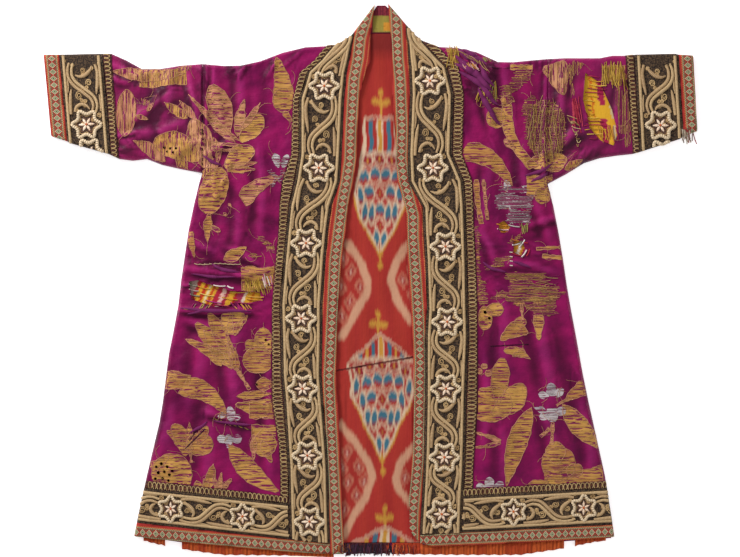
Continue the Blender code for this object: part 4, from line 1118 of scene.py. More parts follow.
class IkatLining:
    """The lining's warp-dyed pattern: soft-edged medallions, hooks and trefoils on red, in pixels of the photo."""

    RED = "AE2E26"
    CREAM = "DDBFA0"
    ROSE = "CC8468"
    TEAL = "3C7084"
    YELLOW = "CC9238"
    CRIMSON = "94202A"
    BLUR = (-2.2, -1.1, 0.0, 1.1, 2.2)
    MEDALLIONS = (
        Medallion(380, 161, ((-44, 15.5), (-15, 17), (0, 19.5), (34, 25), (46, 23), (57, 19), (74, 10), (91, 0)), -43,
                  0.12, ((1.8, YELLOW), (3.2, CREAM), (7, RED), (11, TEAL), (14, RED), (99, CREAM))),
        Medallion(381, 366, ((-34, 34), (0, 33), (11, 32), (30, 31), (48, 21), (66, 13), (86, 4), (91, 0)), -32, 0.9,
                  ((2, YELLOW), (3, CREAM), (6.5, RED), (10, TEAL), (13, RED), (15.5, YELLOW), (19, RED), (23, TEAL),
                   (26, CREAM), (29, RED), (99, TEAL))),
        Medallion(383, 580, ((-60, 36), (0, 36)), -53, 0.55,
                  ((2, YELLOW), (5, CREAM), (7, RED), (12, TEAL), (16, RED), (20, YELLOW), (99, RED))),
    )
    HOOKS = (
        (((348, 243), (360, 262), (368, 280), (366, 294), (356, 312), (342, 336)), 3.6),
        (((407, 246), (396, 262), (391, 280), (396, 298), (410, 320)), 3.6),
        (((340, 424), (350, 438), (366, 460), (371, 478), (364, 496), (350, 520), (342, 534)), 3.4),
        (((412, 446), (398, 464), (394, 478), (398, 490), (409, 503)), 3.4),
    )
    NET = ((351, 272), (360, 287), (350, 301), (341, 287), (343, 258), (342, 316), (403, 280), (412, 268), (412, 293),
           (357, 467), (363, 481), (355, 496), (347, 481), (341, 467), (343, 508), (346, 451), (403, 477))
    TREFOILS = ((381, 101), (378, 323), (383.5, 516))

    def figure(self, shades: np.ndarray, kind: Ikat, x: np.ndarray, y: np.ndarray) -> None:
        """One small figure in its pale outline.

        Args:
            shades: The chart, changed in place.
            kind: What it is.
            x: Places from its middle.
            y: Places from its middle.
        """
        if kind is Ikat.RING:
            reach = np.hypot(x, y * 0.85)
            mixed(shades, reach < 5.9, self.CREAM)
            mixed(shades, reach < 4.5, self.CRIMSON)
            mixed(shades, np.abs(x) / 1.4 + np.abs(y) / 3.0 < 1, self.YELLOW)
        elif kind is Ikat.TULIP:
            reach = (x / 4.6) ** 2 + (y / 7.4) ** 2
            mixed(shades, reach < 1.5, self.CREAM)
            mixed(shades, (reach < 1) & (y < 1.5), self.TEAL)
            mixed(shades, (reach < 1) & (y >= 1.5), self.RED)
        elif kind is Ikat.DIAMOND:
            reach = np.abs(x) / 5.2 + np.abs(y) / 8.5
            mixed(shades, reach < 1.25, self.CREAM)
            mixed(shades, reach < 0.95, self.RED)
            mixed(shades, reach < 0.5, self.CRIMSON)
            mixed(shades, reach < 0.2, self.YELLOW)
        else:
            reach = (x / 2.6) ** 2 + (y / 9.0) ** 2
            mixed(shades, reach < 1.9, self.CREAM)
            mixed(shades, reach < 1, self.TEAL)
            mixed(shades, (reach < 1) & (y > 4), self.CRIMSON)

    def medallion(self, shades: np.ndarray, x: np.ndarray, y: np.ndarray, form: Medallion) -> None:
        """One medallion, its bars above and its figures below.

        Args:
            shades: The chart, changed in place.
            x: Places.
            y: Places.
            form: The medallion.
        """
        side, below = np.abs(x - form.axis), y - form.rings
        width = np.interp(below, [row[0] for row in form.outline], [row[1] for row in form.outline], left=0, right=0)
        top = form.head + form.slope * side
        body = (side < width) & (below > top)
        foot = form.outline[-1][0]
        mixed(shades, (side < width + 2.6) & (below > 36) & (below < foot + 3), self.YELLOW)
        mixed(shades, (side < width + 0.8) & (below > top - 2.2) & (below < foot), self.CREAM)
        mixed(shades, body & (side < width - 1.0), "B23E36")
        inner = 0.0
        bars = body & (below < -7.5) & (below > top + 1.2)
        for outer, code in form.bars:
            mixed(shades, bars & (side >= inner) & (side < outer), code)
            inner = outer
        mixed(shades, body & (np.abs(below + 8.5 - 0.1 * side) < 1.3), self.CREAM)
        for kind, beside, down in MEDALLION_FIGURES:
            for way in (-1, 1) if beside else (1,):
                near = body & (np.abs(x - form.axis - way * beside) < 8) & (np.abs(below - down) < 12)
                if near.any():
                    part = shades[near]
                    self.figure(part, kind, (x - form.axis - way * beside)[near], (below - down)[near])
                    shades[near] = part
        mixed(shades, body & (side > width - 1.3), self.CREAM)
        mixed(shades, (side < 0.9) & (below > foot - 4) & (below < foot + 16), self.YELLOW)
        mixed(shades, side / 3.4 + np.abs(below - foot - 13) / 5.0 < 1, self.YELLOW)

    def hook(self, shades: np.ndarray, x: np.ndarray, y: np.ndarray, line: Points, width: float) -> None:
        """The pale curved edge of a leaf that goes on under the front.

        Args:
            shades: The chart, changed in place.
            x: Places.
            y: Places.
            line: Its middle line.
            width: Half its width.
        """
        off, _ = near_line(x, y, line)
        mixed(shades, off < width + 0.8, self.ROSE, 0.6)
        mixed(shades, off < width, "D49C7C")

    def net(self, shades: np.ndarray, x: np.ndarray, y: np.ndarray) -> None:
        """The pale diamonds with a white dot inside the leaves."""
        for cx, cy in self.NET:
            reach = np.abs(x - cx) / 6.2 + np.abs(y - cy) / 8.4
            mixed(shades, (reach < 1) & (reach > 0.66), self.ROSE, 0.85)
            mixed(shades, reach < 0.6, self.CRIMSON, 0.6)
            mixed(shades, reach < 0.24, "E8C0A8")

    def trefoil(self, shades: np.ndarray, x: np.ndarray, y: np.ndarray, cx: float, cy: float) -> None:
        """A small yellow trefoil on a stalk, as on a carnation."""
        for ox, oy, wide, high in ((-5.0, 1.0, 4.6, 3.4), (5.0, 1.0, 4.6, 3.4), (0.0, -9.0, 2.6, 3.6), (0.0, 1.0, 2.4, 5.0)):
            mixed(shades, ((x - cx - ox) / wide) ** 2 + ((y - cy - oy) / high) ** 2 < 1, self.YELLOW)
        mixed(shades, (np.abs(x - cx) < 0.9) & (y > cy - 8) & (y < cy + 20), self.YELLOW)

    def drawn(self, px: np.ndarray, py: np.ndarray) -> np.ndarray:
        """Draws the pattern once, with hard edges that step from thread to thread.

        Args:
            px: Places in pixels.
            py: Places in pixels.

        Returns:
            The colours.
        """
        below = py > 370 - (px - 340) * 13 / 75
        x = px + np.where(below, -1.5, 0.0) + 0.5 * np.sin(py * 0.21)
        y = py + 1.0 * hashed(px / 0.95, 1.7) + 1.2 * hashed(px / 2.7, 5.1)
        shades = np.tile(np.array(linear(self.RED)), (len(px), 1))
        mixed(shades, 0.5 + 0.5 * np.sin(px * 0.35 + 0.8 * np.sin(py * 0.03)), "BE3C2C", 0.35)
        mixed(shades, hashed(px / 1.1, 9.0) > 0.3, self.CRIMSON, 0.16)
        for line, width in self.HOOKS:
            self.hook(shades, x, y, line, width)
        self.net(shades, x, y)
        for cx, cy in self.TREFOILS:
            self.trefoil(shades, x, y, cx, cy)
        for form in self.MEDALLIONS:
            self.medallion(shades, x, y, form)
        return shades

    def chart(self, px: np.ndarray, py: np.ndarray) -> np.ndarray:
        """Charts the lining, soft along its warp.

        Args:
            px: Places in pixels.
            py: Places in pixels.

        Returns:
            The colours.
        """
        shades = sum(self.drawn(px, py + shift) for shift in self.BLUR) / len(self.BLUR)
        seam = 370 - (px - 340) * 13 / 75
        mixed(shades, np.abs(py - seam) < 0.9, "5A1414", 0.8)
        # Painted shadow at the top of the lining, darkening towards the neck
        mixed(shades, np.clip((62 - py) / 14, 0, 1), "6A1616", 0.7)
        return shades


class Patches:
    """Charts of the small cloths that show in the tears, at the neck and below the hem."""

    def striped(self, px: np.ndarray, py: np.ndarray) -> np.ndarray:
        """The interlining's slanted stripes, bright yellow, red, pink and white.

        Args:
            px: Places in pixels.
            py: Places in pixels.

        Returns:
            The colours.
        """
        shades = np.tile(np.array(linear("E8AE30")), (len(px), 1))
        slanted = px + 0.45 * (py - 290) + 0.8 * hashed(py / 1.3, 2.0)
        for low, high, code in ((160, 189, "9A8A70"), (189, 195, "B89A90"), (195, 199, "B02A2E"),
                                (203, 206, "C8381E"), (208, 210, "F0DCA8"), (212, 215, "C8501E"),
                                (217, 223, "B41E3C"), (223, 227, "EEC0B0"), (227, 231, "A8203E"),
                                (237, 240, "C02A28"), (240, 246, "B03058"), (246, 249, "F0D8C0"),
                                (254, 257, "D8781E"), (262, 280, "C88A2E")):
            mixed(shades, (slanted >= low) & (slanted < high) & (px < 330), code)
        chest = (px > 480) & (px < 535)
        mixed(shades, chest, "D8962E")
        for low, high, code in ((498, 500, "E8A038"), (504, 508, "E8C0B8"), (511, 513, "C8581E"),
                                (517, 520, "F0E0D0"), (523, 526, "B83030")):
            mixed(shades, chest & (slanted + 18 >= low) & (slanted + 18 < high), code)
        sleeve = px > 560
        mixed(shades, sleeve, "EDB42E")
        upright = px - 0.12 * (py - 100) + 0.8 * hashed(py / 2.0, 3.0)
        for low, high, code in ((582, 586, "B0204A"), (591, 593, "D8701E"), (598, 604, "B01E4E"),
                                (609, 612, "E8D0A0"), (613, 619, "B8283A")):
            mixed(shades, sleeve & (upright >= low) & (upright < high) & (hashed(py / 7.0, low) > -0.2), code)
        return shades

    def orange(self, px: np.ndarray, py: np.ndarray) -> np.ndarray:
        """The gathered facing below the hem: orange with painted shade in the hollows of its gathers, torn to dark
        purple near the middle.
        """
        shades = np.tile(np.array(linear("D2602C")), (len(px), 1))
        wave = np.sin(px * 2 * math.pi / 3.6 + 1.2 * np.sin(px * 0.23))
        # Painted shade in the hollows of the gathers
        mixed(shades, np.clip(-wave, 0, 1), "7A2412", 0.75)
        mixed(shades, hashed(px / 9.0, 4.0) > 0.35, "B03A20", 0.6)
        mixed(shades, (px > 345) & (px < 388), "2E1626", 0.92)
        mixed(shades, (px > 388) & (px < 420), "A8321E", 0.8)
        return shades

    def neck(self, px: np.ndarray, py: np.ndarray) -> np.ndarray:
        """The worn cloths inside the back of the neck, from the rolled edge down to the lining, with a band of painted
        shadow below the facing.
        """
        shades = np.tile(np.array(linear("7A1E34")), (len(px), 1))
        mixed(shades, np.sin(px * 2.2 + py * 0.6) > 0.3, "4A1026", 0.8)
        mixed(shades, (py > 17) & (py < 32), "9A8A3A", 0.9)
        mixed(shades, (px > 384) & (py > 24) & (py < 31), "D88A2A", 0.9)
        mixed(shades, (py > 32) & (py < 36), "8A1E50", 0.9)
        # Painted shadow in the band below the facing
        mixed(shades, (py >= 36) & (py < 60), "5A1420", 0.95)
        mixed(shades, (px > 375) & (px < 385) & (py > 39) & (py < 47), "9A6A34", 0.9)
        return shades

    def neck_band(self, px: np.ndarray, py: np.ndarray) -> np.ndarray:
        """The gathered facing in the neck: brown red with gold and olive wear."""
        shades = np.tile(np.array(linear("8A2A38")), (len(px), 1))
        mixed(shades, np.sin(px * 2.6) > 0.2, "561428", 0.8)
        mixed(shades, (py > 16) & (py < 33) & (px > 373), "A0923E", 0.95)
        mixed(shades, (px > 383) & (py > 23) & (py < 31), "DB9430", 0.9)
        mixed(shades, py > 32, "6E1838", 0.9)
        return shades


CHART = Patches()
LINING = IkatLining()


def gathered(x: np.ndarray, y: np.ndarray, z: np.ndarray) -> np.ndarray:
    """Finer pleats in the facing below the hem, on top of its large gathers."""
    return (0.5 * np.sin(x * 2 * math.pi / 4.3 + np.sin(x * 0.19)) + 0.3) * np.clip((z - 0.6) / 0.8, 0, 1)


def puckered(x: np.ndarray, y: np.ndarray, z: np.ndarray) -> np.ndarray:
    """Small puckers along the seam of the neck facing."""
    return 0.5 * np.sin(x * 2 * math.pi / 5.0 + 0.04 * y * y)


def crumpled(x: np.ndarray, y: np.ndarray, z: np.ndarray) -> np.ndarray:
    """Soft waves in the lining between the fronts, kept below them."""
    return 0.5 * (np.sin(x * 0.21 + y * 0.05) + np.sin(x * 0.11 - y * 0.045 + 1.0)) * (np.abs(x - 10) < 40)


def all_sheets() -> list[Sheet]:
    """Every cloth piece of the robe, lowest first.

    Returns:
        The sheets, not yet built.
    """
    body = ("back", "lining_upper", "lining_lower")
    sheets = [
        Sheet("back", BACK_SILK, "magenta_silk_back", 14.0, False),
        Sheet("hem_border_back", UNDER_BORDER, "scroll_border", 14.0, False, rests_on=("back",)),
        Sheet("collar_back", PATCHED, "scroll_border", 2.0, False, rests_on=("back",), paint=CHART.neck),
        Sheet("neck_facing", PATCHED, "orange_facing", 1.6, False, rests_on=("collar_back",),
              paint=CHART.neck_band, ripple=puckered),
        Sheet("lining_upper", IKAT, "ikat_lining", 1.3, False, rests_on=("back",), paint=LINING.chart,
              window=(-48.0, 56.0, 1.25), ripple=crumpled),
        Sheet("lining_lower", IKAT, "ikat_lining", 1.3, False, rests_on=("back",), paint=LINING.chart,
              window=(-48.0, 56.0, 1.25), ripple=crumpled),
    ]
    for name in ("left_end", "left", "middle", "right", "right_end"):
        sheets.append(Sheet("hem_facing_" + name, FACING, "orange_facing", 1.5, False, rests_on=("back",),
                            paint=CHART.orange, ripple=gathered))
    for name in ("left", "right", "sleeve"):
        sheets.append(Sheet("interlining_" + name, STRIPED, "striped_interlining", 1.6, False,
                            rests_on=("back",), paint=CHART.striped))
    for side, band, inward, hem, cuff in (
            ("left", LEFT_BAND, 1.0, (spot(136, 531), spot(309, 547)), (spot(52.5, 56), spot(60, 137))),
            ("right", RIGHT_BAND, -1.0, (spot(430, 539), spot(613, 530.5)), (spot(686, 56), spot(691, 131)))):
        front, sleeve = "front_" + side, f"sleeve_{side}_front"
        sheets += [
            Sheet(front, MAGENTA, "magenta_silk", 2.8, rests_on=body),
            Sheet(f"sleeve_{side}_back", BACK_SILK, "magenta_silk_back", 12.0, False),
            Sheet(sleeve, MAGENTA_SLEEVE, "magenta_silk", 2.6, rests_on=(f"sleeve_{side}_back",)),
            Sheet(f"cuff_border_{side}_back", UNDER_BORDER, "scroll_border", 12.0, False,
                  rests_on=(f"sleeve_{side}_back",)),
            Sheet("front_border_" + side, BORDER_GROUND, "scroll_border", 5.0, flat_above=7.75, rests_on=(front,)),
            Sheet("hem_border_" + side, BORDER_GROUND, "scroll_border", 5.0, flat_above=7.75, rests_on=(front,)),
            Sheet("cuff_border_" + side, BORDER_GROUND, "scroll_border", 5.0, flat_above=7.75, rests_on=(sleeve,)),
            Sheet("front_braid_" + side, LADDER_GROUND, "ladder_braid", 5.0, flat_above=7.0, rests_on=(front,)),
            Sheet("hem_braid_" + side, LADDER_GROUND, "ladder_braid", 5.0, flat_above=7.0, rests_on=(front,)),
            Sheet("cuff_braid_" + side, LADDER_GROUND, "ladder_braid", 5.0, flat_above=7.0, rests_on=(sleeve,)),
            Sheet("front_tape_" + side, TAPE, "woven_tape", 4.0, rests_on=(front,),
                  uv=front_tape_uv(band, inward)),
            Sheet("hem_tape_" + side, TAPE, "woven_tape", 4.0, rests_on=(front,), uv=hem_tape_uv(*hem)),
            Sheet("cuff_tape_" + side, TAPE, "woven_tape", 4.0, rests_on=(sleeve,), uv=cuff_tape_uv(*cuff)),
        ]
    return sheets


@dataclass(frozen=True)
class Studio:
    """The pale surface, the soft lights and the camera straight above the robe."""

    height: float = 2.22
    lens: float = 90.0
    centre: Point = (-0.6, 1.8)

    def build(self) -> None:
        """Makes the floor, lights and camera."""
        scene = bpy.context.scene
        camera = bpy.data.objects.new("camera", bpy.data.cameras.new("camera"))
        camera.data.lens = self.lens
        camera.data.sensor_width = 36.0
        camera.location = (self.centre[0] * MM, self.centre[1] * MM, self.height)
        scene.collection.objects.link(camera)
        scene.camera = camera
        floor_mesh = bpy.data.meshes.new("floor")
        half = 3.0
        floor_mesh.from_pydata([(-half, -half, -0.0004), (half, -half, -0.0004), (half, half, -0.0004),
                                (-half, half, -0.0004)], [], [(0, 1, 2, 3)])
        paper = bpy.data.materials.new("white_paper_floor")
        paper.use_nodes = True
        shader = paper.node_tree.nodes["Principled BSDF"]
        shader.inputs["Base Color"].default_value = (1.0, 1.0, 1.0, 1.0)
        shader.inputs["Roughness"].default_value = 0.9
        shader.inputs["Emission Color"].default_value = (1.0, 1.0, 1.0, 1.0)
        shader.inputs["Emission Strength"].default_value = 0.55
        floor_mesh.materials.append(paper)
        floor = bpy.data.objects.new("floor", floor_mesh)
        scene.collection.objects.link(floor)
        for name, place, size, power in (("key", (-1.5, 1.5, 1.15), 0.7, 50.0), ("fill", (1.3, -0.9, 1.9), 1.6, 6.0)):
            light = bpy.data.lights.new(name, "AREA")
            light.size = size
            light.energy = power
            lamp = bpy.data.objects.new(name, light)
            lamp.location = place
            lamp.rotation_euler = (-Vector(place)).to_track_quat("-Z", "Y").to_euler()
            scene.collection.objects.link(lamp)
        world = bpy.data.worlds.new("studio")
        world.use_nodes = True
        backdrop = world.node_tree.nodes["Background"]
        backdrop.inputs[0].default_value = (1.0, 1.0, 1.0, 1.0)
        backdrop.inputs[1].default_value = 0.45
        scene.world = world
        scene.view_settings.view_transform = "Standard"


def taper(count: int, ends: tuple[float, float], full: float) -> list[float]:
    """Radii that swell from one end of a strand to its middle and shrink to its other end.

    Args:
        count: How many.
        ends: The radius at each end.
        full: The radius in the middle.

    Returns:
        The radii.
    """
    made = []
    for i in range(count):
        share = i / max(1, count - 1)
        base = ends[0] * (1 - share) + ends[1] * share
        made.append(base + (full - base) * math.sin(math.pi * share) ** 0.8)
    return made


@dataclass
class Strip:
    """A band of couching between two rails. A place on it is a run along it and a share across it.

    The share is 1 on the outer rail, where the ladder braid lies, and -1 on the inner one.
    """

    name: str
    place: Callable[[float, float], Point]
    start: float
    end: float
    stars: tuple[float, ...]
    sheets: tuple[str, ...]
    half: float = 21.0


def front_strip(side: str, stars: tuple[float, ...]) -> Strip:
    """The border down one front.

    Args:
        side: Left or right.
        stars: The heights of its stars.

    Returns:
        The strip, run from the neck down.
    """
    lines = LEFT_LINES if side == "left" else RIGHT_LINES

    def place(run: float, share: float) -> Point:
        _, outer, inner, _ = table_at(lines, -run)
        return (outer + inner) / 2 + share * (outer - inner) / 2, -run
    return Strip("front_" + side, place, -332, 332, tuple(-s for s in stars), ("front_border_" + side,))


def hem_strip(side: str, upper: tuple[float, float, float, float], lower: tuple[float, float, float, float],
              stars: tuple[float, ...]) -> Strip:
    """The border along one hem.

    Args:
        side: Left or right.
        upper: The upper rail's two ends.
        lower: The lower rail's two ends.
        stars: The places of its stars along X.

    Returns:
        The strip, run from the side edge to the front border.
    """
    way = 1.0 if side == "left" else -1.0

    def place(run: float, share: float) -> Point:
        x = run * way
        high = upper[1] + (x - upper[0]) * (upper[3] - upper[1]) / (upper[2] - upper[0])
        low = lower[1] + (x - lower[0]) * (lower[3] - lower[1]) / (lower[2] - lower[0])
        return x, (high + low) / 2 + share * (high - low) / 2
    return Strip("hem_" + side, place, way * upper[0] - 24, way * upper[2] + 4, tuple(way * s for s in stars),
                 ("hem_border_" + side,), 18.5)


def cuff_strip(side: str, outer: tuple[float, float, float, float], inner: tuple[float, float, float, float],
               stars: tuple[float, ...]) -> Strip:
    """The border round one cuff, as far as its upper half shows.

    Args:
        side: Left or right.
        outer: The two ends of the rail beside the ladder braid.
        inner: The two ends of the rail beside the tape.
        stars: The heights of its stars.

    Returns:
        The strip, run from the upper fold down.
    """
    def place(run: float, share: float) -> Point:
        y = -run
        a = outer[0] + (y - outer[1]) * (outer[2] - outer[0]) / (outer[3] - outer[1])
        b = inner[0] + (y - inner[1]) * (inner[2] - inner[0]) / (inner[3] - inner[1])
        return (a + b) / 2 + share * (a - b) / 2, y
    return Strip("cuff_" + side, place, -274, -146, tuple(-s for s in stars), ("cuff_border_" + side,))


STRIPS = (
    front_strip("left", (232, 134, 44, -46, -130, -210, -289)),
    front_strip("right", (238, 134, 40, -50, -130, -212, -280)),
    hem_strip("left", (-267, -253, -94, -271), (-277, -287, -59, -311), (-239, -153, -74)),
    hem_strip("right", (285, -252, 111, -262), (290, -289, 83, -300), (255, 171, 88)),
    cuff_strip("left", (-324, 271, -314, 151), (-369, 270, -360, 164), (186, 152)),
    cuff_strip("right", (319, 270, 325, 154), (365, 271, 371, 169), (185, 150)),
)

# One repeat of the scroll, drawn from one star to the next: run in millimetres out of a pitch of 84, share across
PITCH = 84.0
STEMS = (
    # The pair of thick cords that crosses from the inner to the outer side, each with its offset
    ((11, -0.56), (19, -0.66), (28, -0.64), (36, -0.42), (44, 0.02), (52, 0.42), (61, 0.55), (70, 0.44)),
)
# Leaves: points, the radius at both ends and in the middle
LEAVES = (
    (((12, 0.70), (22, 0.80), (33, 0.77), (42, 0.70), (48, 0.66)), 1.6, 0.5, 2.3),
    (((14, 0.52), (19, 0.42), (25, 0.14), (27, -0.16), (25, -0.40)), 0.7, 0.6, 2.5),
    (((42, -0.66), (50, -0.72), (60, -0.76), (72, -0.78)), 0.7, 1.8, 2.1),
    (((69, -0.56), (63, -0.44), (60, -0.16), (62, 0.10), (66, 0.24)), 1.6, 0.6, 2.2),
    (((48, 0.80), (58, 0.84), (68, 0.82)), 0.5, 0.7, 1.2),
    (((30, -0.82), (38, -0.80), (46, -0.84)), 0.5, 0.6, 1.1),
)
# Small spirals: middle, outer radius in millimetres, direction, and how far they are drawn out along the run
CURLS = (
    ((19.5, 0.02), 3.4, 1, 1.0), ((34, 0.30), 3.6, -1, 1.2), ((50, -0.28), 4.0, 1, 1.3), ((61, -0.86), 1.8, -1, 1.0),
    ((73, 0.70), 3.0, 1, 1.0), ((56, 0.02), 2.4, -1, 1.0), ((40, -0.10), 1.8, 1, 1.0), ((11, 0.92), 2.0, -1, 1.0),
    ((8, -0.92), 2.0, 1, 1.0), ((78, -0.35), 2.0, 1, 0.9),
)
STAR_POINTS = 6


class ScrollBorder:
    """The couched scrolls, stars and rails of one strip, each cord laid on the border's ground."""

    RAIL = 1.75
    STEM = 2.15
    STEM_GAP = 2.35
    STEP = 2.0

    def __init__(self, strip: Strip, drape: Drape) -> None:
        """Sets out the strip.

        Args:
            strip: Where it runs.
            drape: The finished cloth.
        """
        self.strip = strip
        self.drape = drape
        self.cords: list[Strand] = []
        self.rings: list[Strand] = []
        self.petals: list[Strand] = []
        self.knots: list[Strand] = []
        self.fillings: list[Strand] = []
        self.scatter = random.Random(sum(map(ord, strip.name)))

    def laid(self, flat: np.ndarray, lift: float) -> list[Strand]:
        """Lays a line on the border, in as many lengths as lie on it.

        Args:
            flat: Rows of X, Y and radius.
            lift: How far the middle of the cord lies above the cloth.

        Returns:
            The strands.
        """
        made = []
        points, radii = [], []
        for x, y, radius in flat:
            z, name = self.drape.top(x, y, self.strip.sheets)
            if name:
                points.append((x, y, z + lift))
                radii.append(radius)
            elif points:
                made.append(Strand(points, radii))
                points, radii = [], []
        if len(points) > 1:
            made.append(Strand(points, radii))
        return [s for s in made if len(s.points) > 1]

    def line(self, places: Sequence[Point], radii: Sequence[float] | float, lift: float, step: float,
             shift: float = 0.0) -> list[Strand]:
        """Draws a smooth line given by runs and shares.

        Args:
            places: Its points on the strip.
            radii: One radius for each sample of the line or one for all.
            lift: Height of its middle above the cloth.
            step: Spacing of its samples.
            shift: How far it is moved sideways, in millimetres.

        Returns:
            The strands.
        """
        rows = smooth_line([self.strip.place(*p) for p in places], step)
        if shift:
            way = np.gradient(rows, axis=0)
            way /= np.maximum(np.linalg.norm(way, axis=1), 1e-9)[:, None]
            rows = rows + shift * np.stack([-way[:, 1], way[:, 0]], 1)
        if isinstance(radii, float):
            sizes = np.full(len(rows), radii)
        else:
            sizes = np.array(taper(len(rows), (radii[0], radii[1]), radii[2]))
        return self.laid(np.column_stack([rows, sizes]), lift)

    def rails(self) -> None:
        """The two cords along the edges, bound by small stitches."""
        count = round((self.strip.end - self.strip.start) / 3.0)
        runs = [self.strip.start + (self.strip.end - self.strip.start) * i / count for i in range(count + 1)]
        for share in (-1.0, 1.0):
            inset = share * (1 - 1.3 / self.strip.half)
            for strand in self.line([(r, inset) for r in runs], self.RAIL, 0.8, 3.0):
                strand.tone = 0.72
                self.cords.append(strand)

    def star(self, run: float) -> None:
        """One six-pointed star: its ring, petals and knot.

        Args:
            run: The run of its middle.
        """
        x0, y0 = self.strip.place(run, 0.0)
        x1, y1 = self.strip.place(run, 1.0)
        tilt = math.atan2(y1 - y0, x1 - x0)
        size = self.strip.half / 21.0
        ring = []
        for i in range(73):
            turn = 2 * math.pi * i / 72
            reach = size * (14.4 + 2.5 * math.cos(STAR_POINTS * turn) + 0.5 * math.cos(2 * STAR_POINTS * turn))
            reach += 0.25 * math.sin(3 * turn + run)
            ring.append((x0 + reach * math.cos(turn + tilt), y0 + reach * math.sin(turn + tilt), 2.05 * size))
        for strand in self.laid(np.array(ring), 1.5):
            strand.tone = 0.7
            self.rings.append(strand)
        inner = []
        for i in range(61):
            turn = 2 * math.pi * i / 60
            reach = size * (11.1 + 1.9 * math.cos(STAR_POINTS * turn))
            inner.append((x0 + reach * math.cos(turn + tilt), y0 + reach * math.sin(turn + tilt), 0.45))
        for strand in self.laid(np.array(inner), 0.6):
            strand.tone = 0.8
            self.fillings.append(strand)
        for i in range(STAR_POINTS):
            turn = tilt + 2 * math.pi * i / STAR_POINTS + self.scatter.uniform(-0.08, 0.08)
            reach = size * (9.6 if i % 3 == 0 else 8.4)
            petal = []
            for k, radius in enumerate((0.6, 1.25, 1.7, 1.5, 1.0, 0.3)):
                out = 1.2 + (reach - 1.2) * k / 5
                petal.append((x0 + out * math.cos(turn), y0 + out * math.sin(turn), radius * size))
            for strand in self.laid(np.array(petal), 0.75):
                strand.tone = self.scatter.uniform(0.55, 0.95)
                self.petals.append(strand)
        knot = np.array([(x0 + 0.9 * t, y0, 1.9 - 0.9 * abs(t)) for t in (-1.7, -0.8, 0.0, 0.8, 1.7)])
        for strand in self.laid(knot, 1.0):
            strand.tone = self.scatter.uniform(0.4, 0.8)
            self.knots.append(strand)

    def repeat(self, run: float, pitch: float) -> None:
        """The scroll between one star and the next.

        Args:
            run: The run of the first star.
            pitch: The distance to the next.
        """
        size = pitch / PITCH
        for stem in STEMS:
            places = [(run + s * size, w) for s, w in stem]
            for side in (-1, 1):
                for strand in self.line(places, (1.3, 1.3, self.STEM), 0.95, self.STEP, side * self.STEM_GAP):
                    strand.tone = 0.62 + 0.08 * side
                    self.cords.append(strand)
        for points, first, last, full in LEAVES:
            for strand in self.line([(run + s * size, w) for s, w in points], (first, last, full), 0.85, self.STEP):
                strand.tone = self.scatter.uniform(0.45, 0.62)
                self.cords.append(strand)
        for (s, w), radius, way, drawn in CURLS:
            self.curl(run + s * size, w, radius, way, drawn)
            self.curl(run + (s + 5.5) * size, w * 0.55, 2.3, -way, 1.0)

    def curl(self, run: float, share: float, radius: float, way: int, drawn: float) -> None:
        """A small spiral of fine cord.

        Args:
            run: The run of its middle.
            share: The share of its middle.
            radius: Its outer radius.
            way: 1 or -1 for the way it turns.
            drawn: How much longer it is along the run than across.
        """
        x0, y0 = self.strip.place(run, share)
        x1, y1 = self.strip.place(run + 1.0, share)
        tilt = math.atan2(y1 - y0, x1 - x0)
        start = self.scatter.uniform(0, 2 * math.pi)
        rows = []
        count = round(14 + radius * 4)
        for i in range(count):
            turn = way * 3.6 * math.pi * i / (count - 1)
            reach = radius * (1 - 0.8 * i / (count - 1))
            a, b = drawn * reach * math.cos(turn + start), reach * math.sin(turn + start)
            rows.append((x0 + a * math.cos(tilt) - b * math.sin(tilt), y0 + a * math.sin(tilt) + b * math.cos(tilt),
                         0.62))
        for strand in self.laid(np.array(rows), 0.6):
            strand.tone = self.scatter.uniform(0.4, 0.95)
            self.fillings.append(strand)

    def build(self) -> list[bpy.types.Object]:
        """Makes every cord of the strip.

        Returns:
            Its pieces.
        """
        self.rails()
        stars = sorted(self.strip.stars)
        for run in stars:
            self.star(run)
        ends = [stars[0] - PITCH, *stars]
        if self.strip.name.startswith("cuff"):
            ends = [stars[0] - PITCH, stars[0]]
        for first, second in zip(ends, ends[1:]):
            self.repeat(first, second - first)
        if self.strip.name.startswith("front"):
            self.repeat(stars[0] - 2 * PITCH, PITCH)
            self.repeat(stars[-1], PITCH)
        name = self.strip.name
        made = [
            lay_cords(f"couched_cord_{name}", self.cords, COUCHED, 6, 0.62),
            lay_cords(f"star_ring_{name}", self.rings, STAR_CORD, 6, 0.7),
            lay_cords(f"star_petal_{name}", self.petals, PETAL, 6, 0.5),
            lay_cords(f"star_knot_{name}", self.knots, KNOT, 6, 0.7),
            lay_cords(f"filling_cord_{name}", self.fillings, FILLING, 4, 0.7),
        ]
        made.append(self.star_grounds())
        return [m for m in made if m]

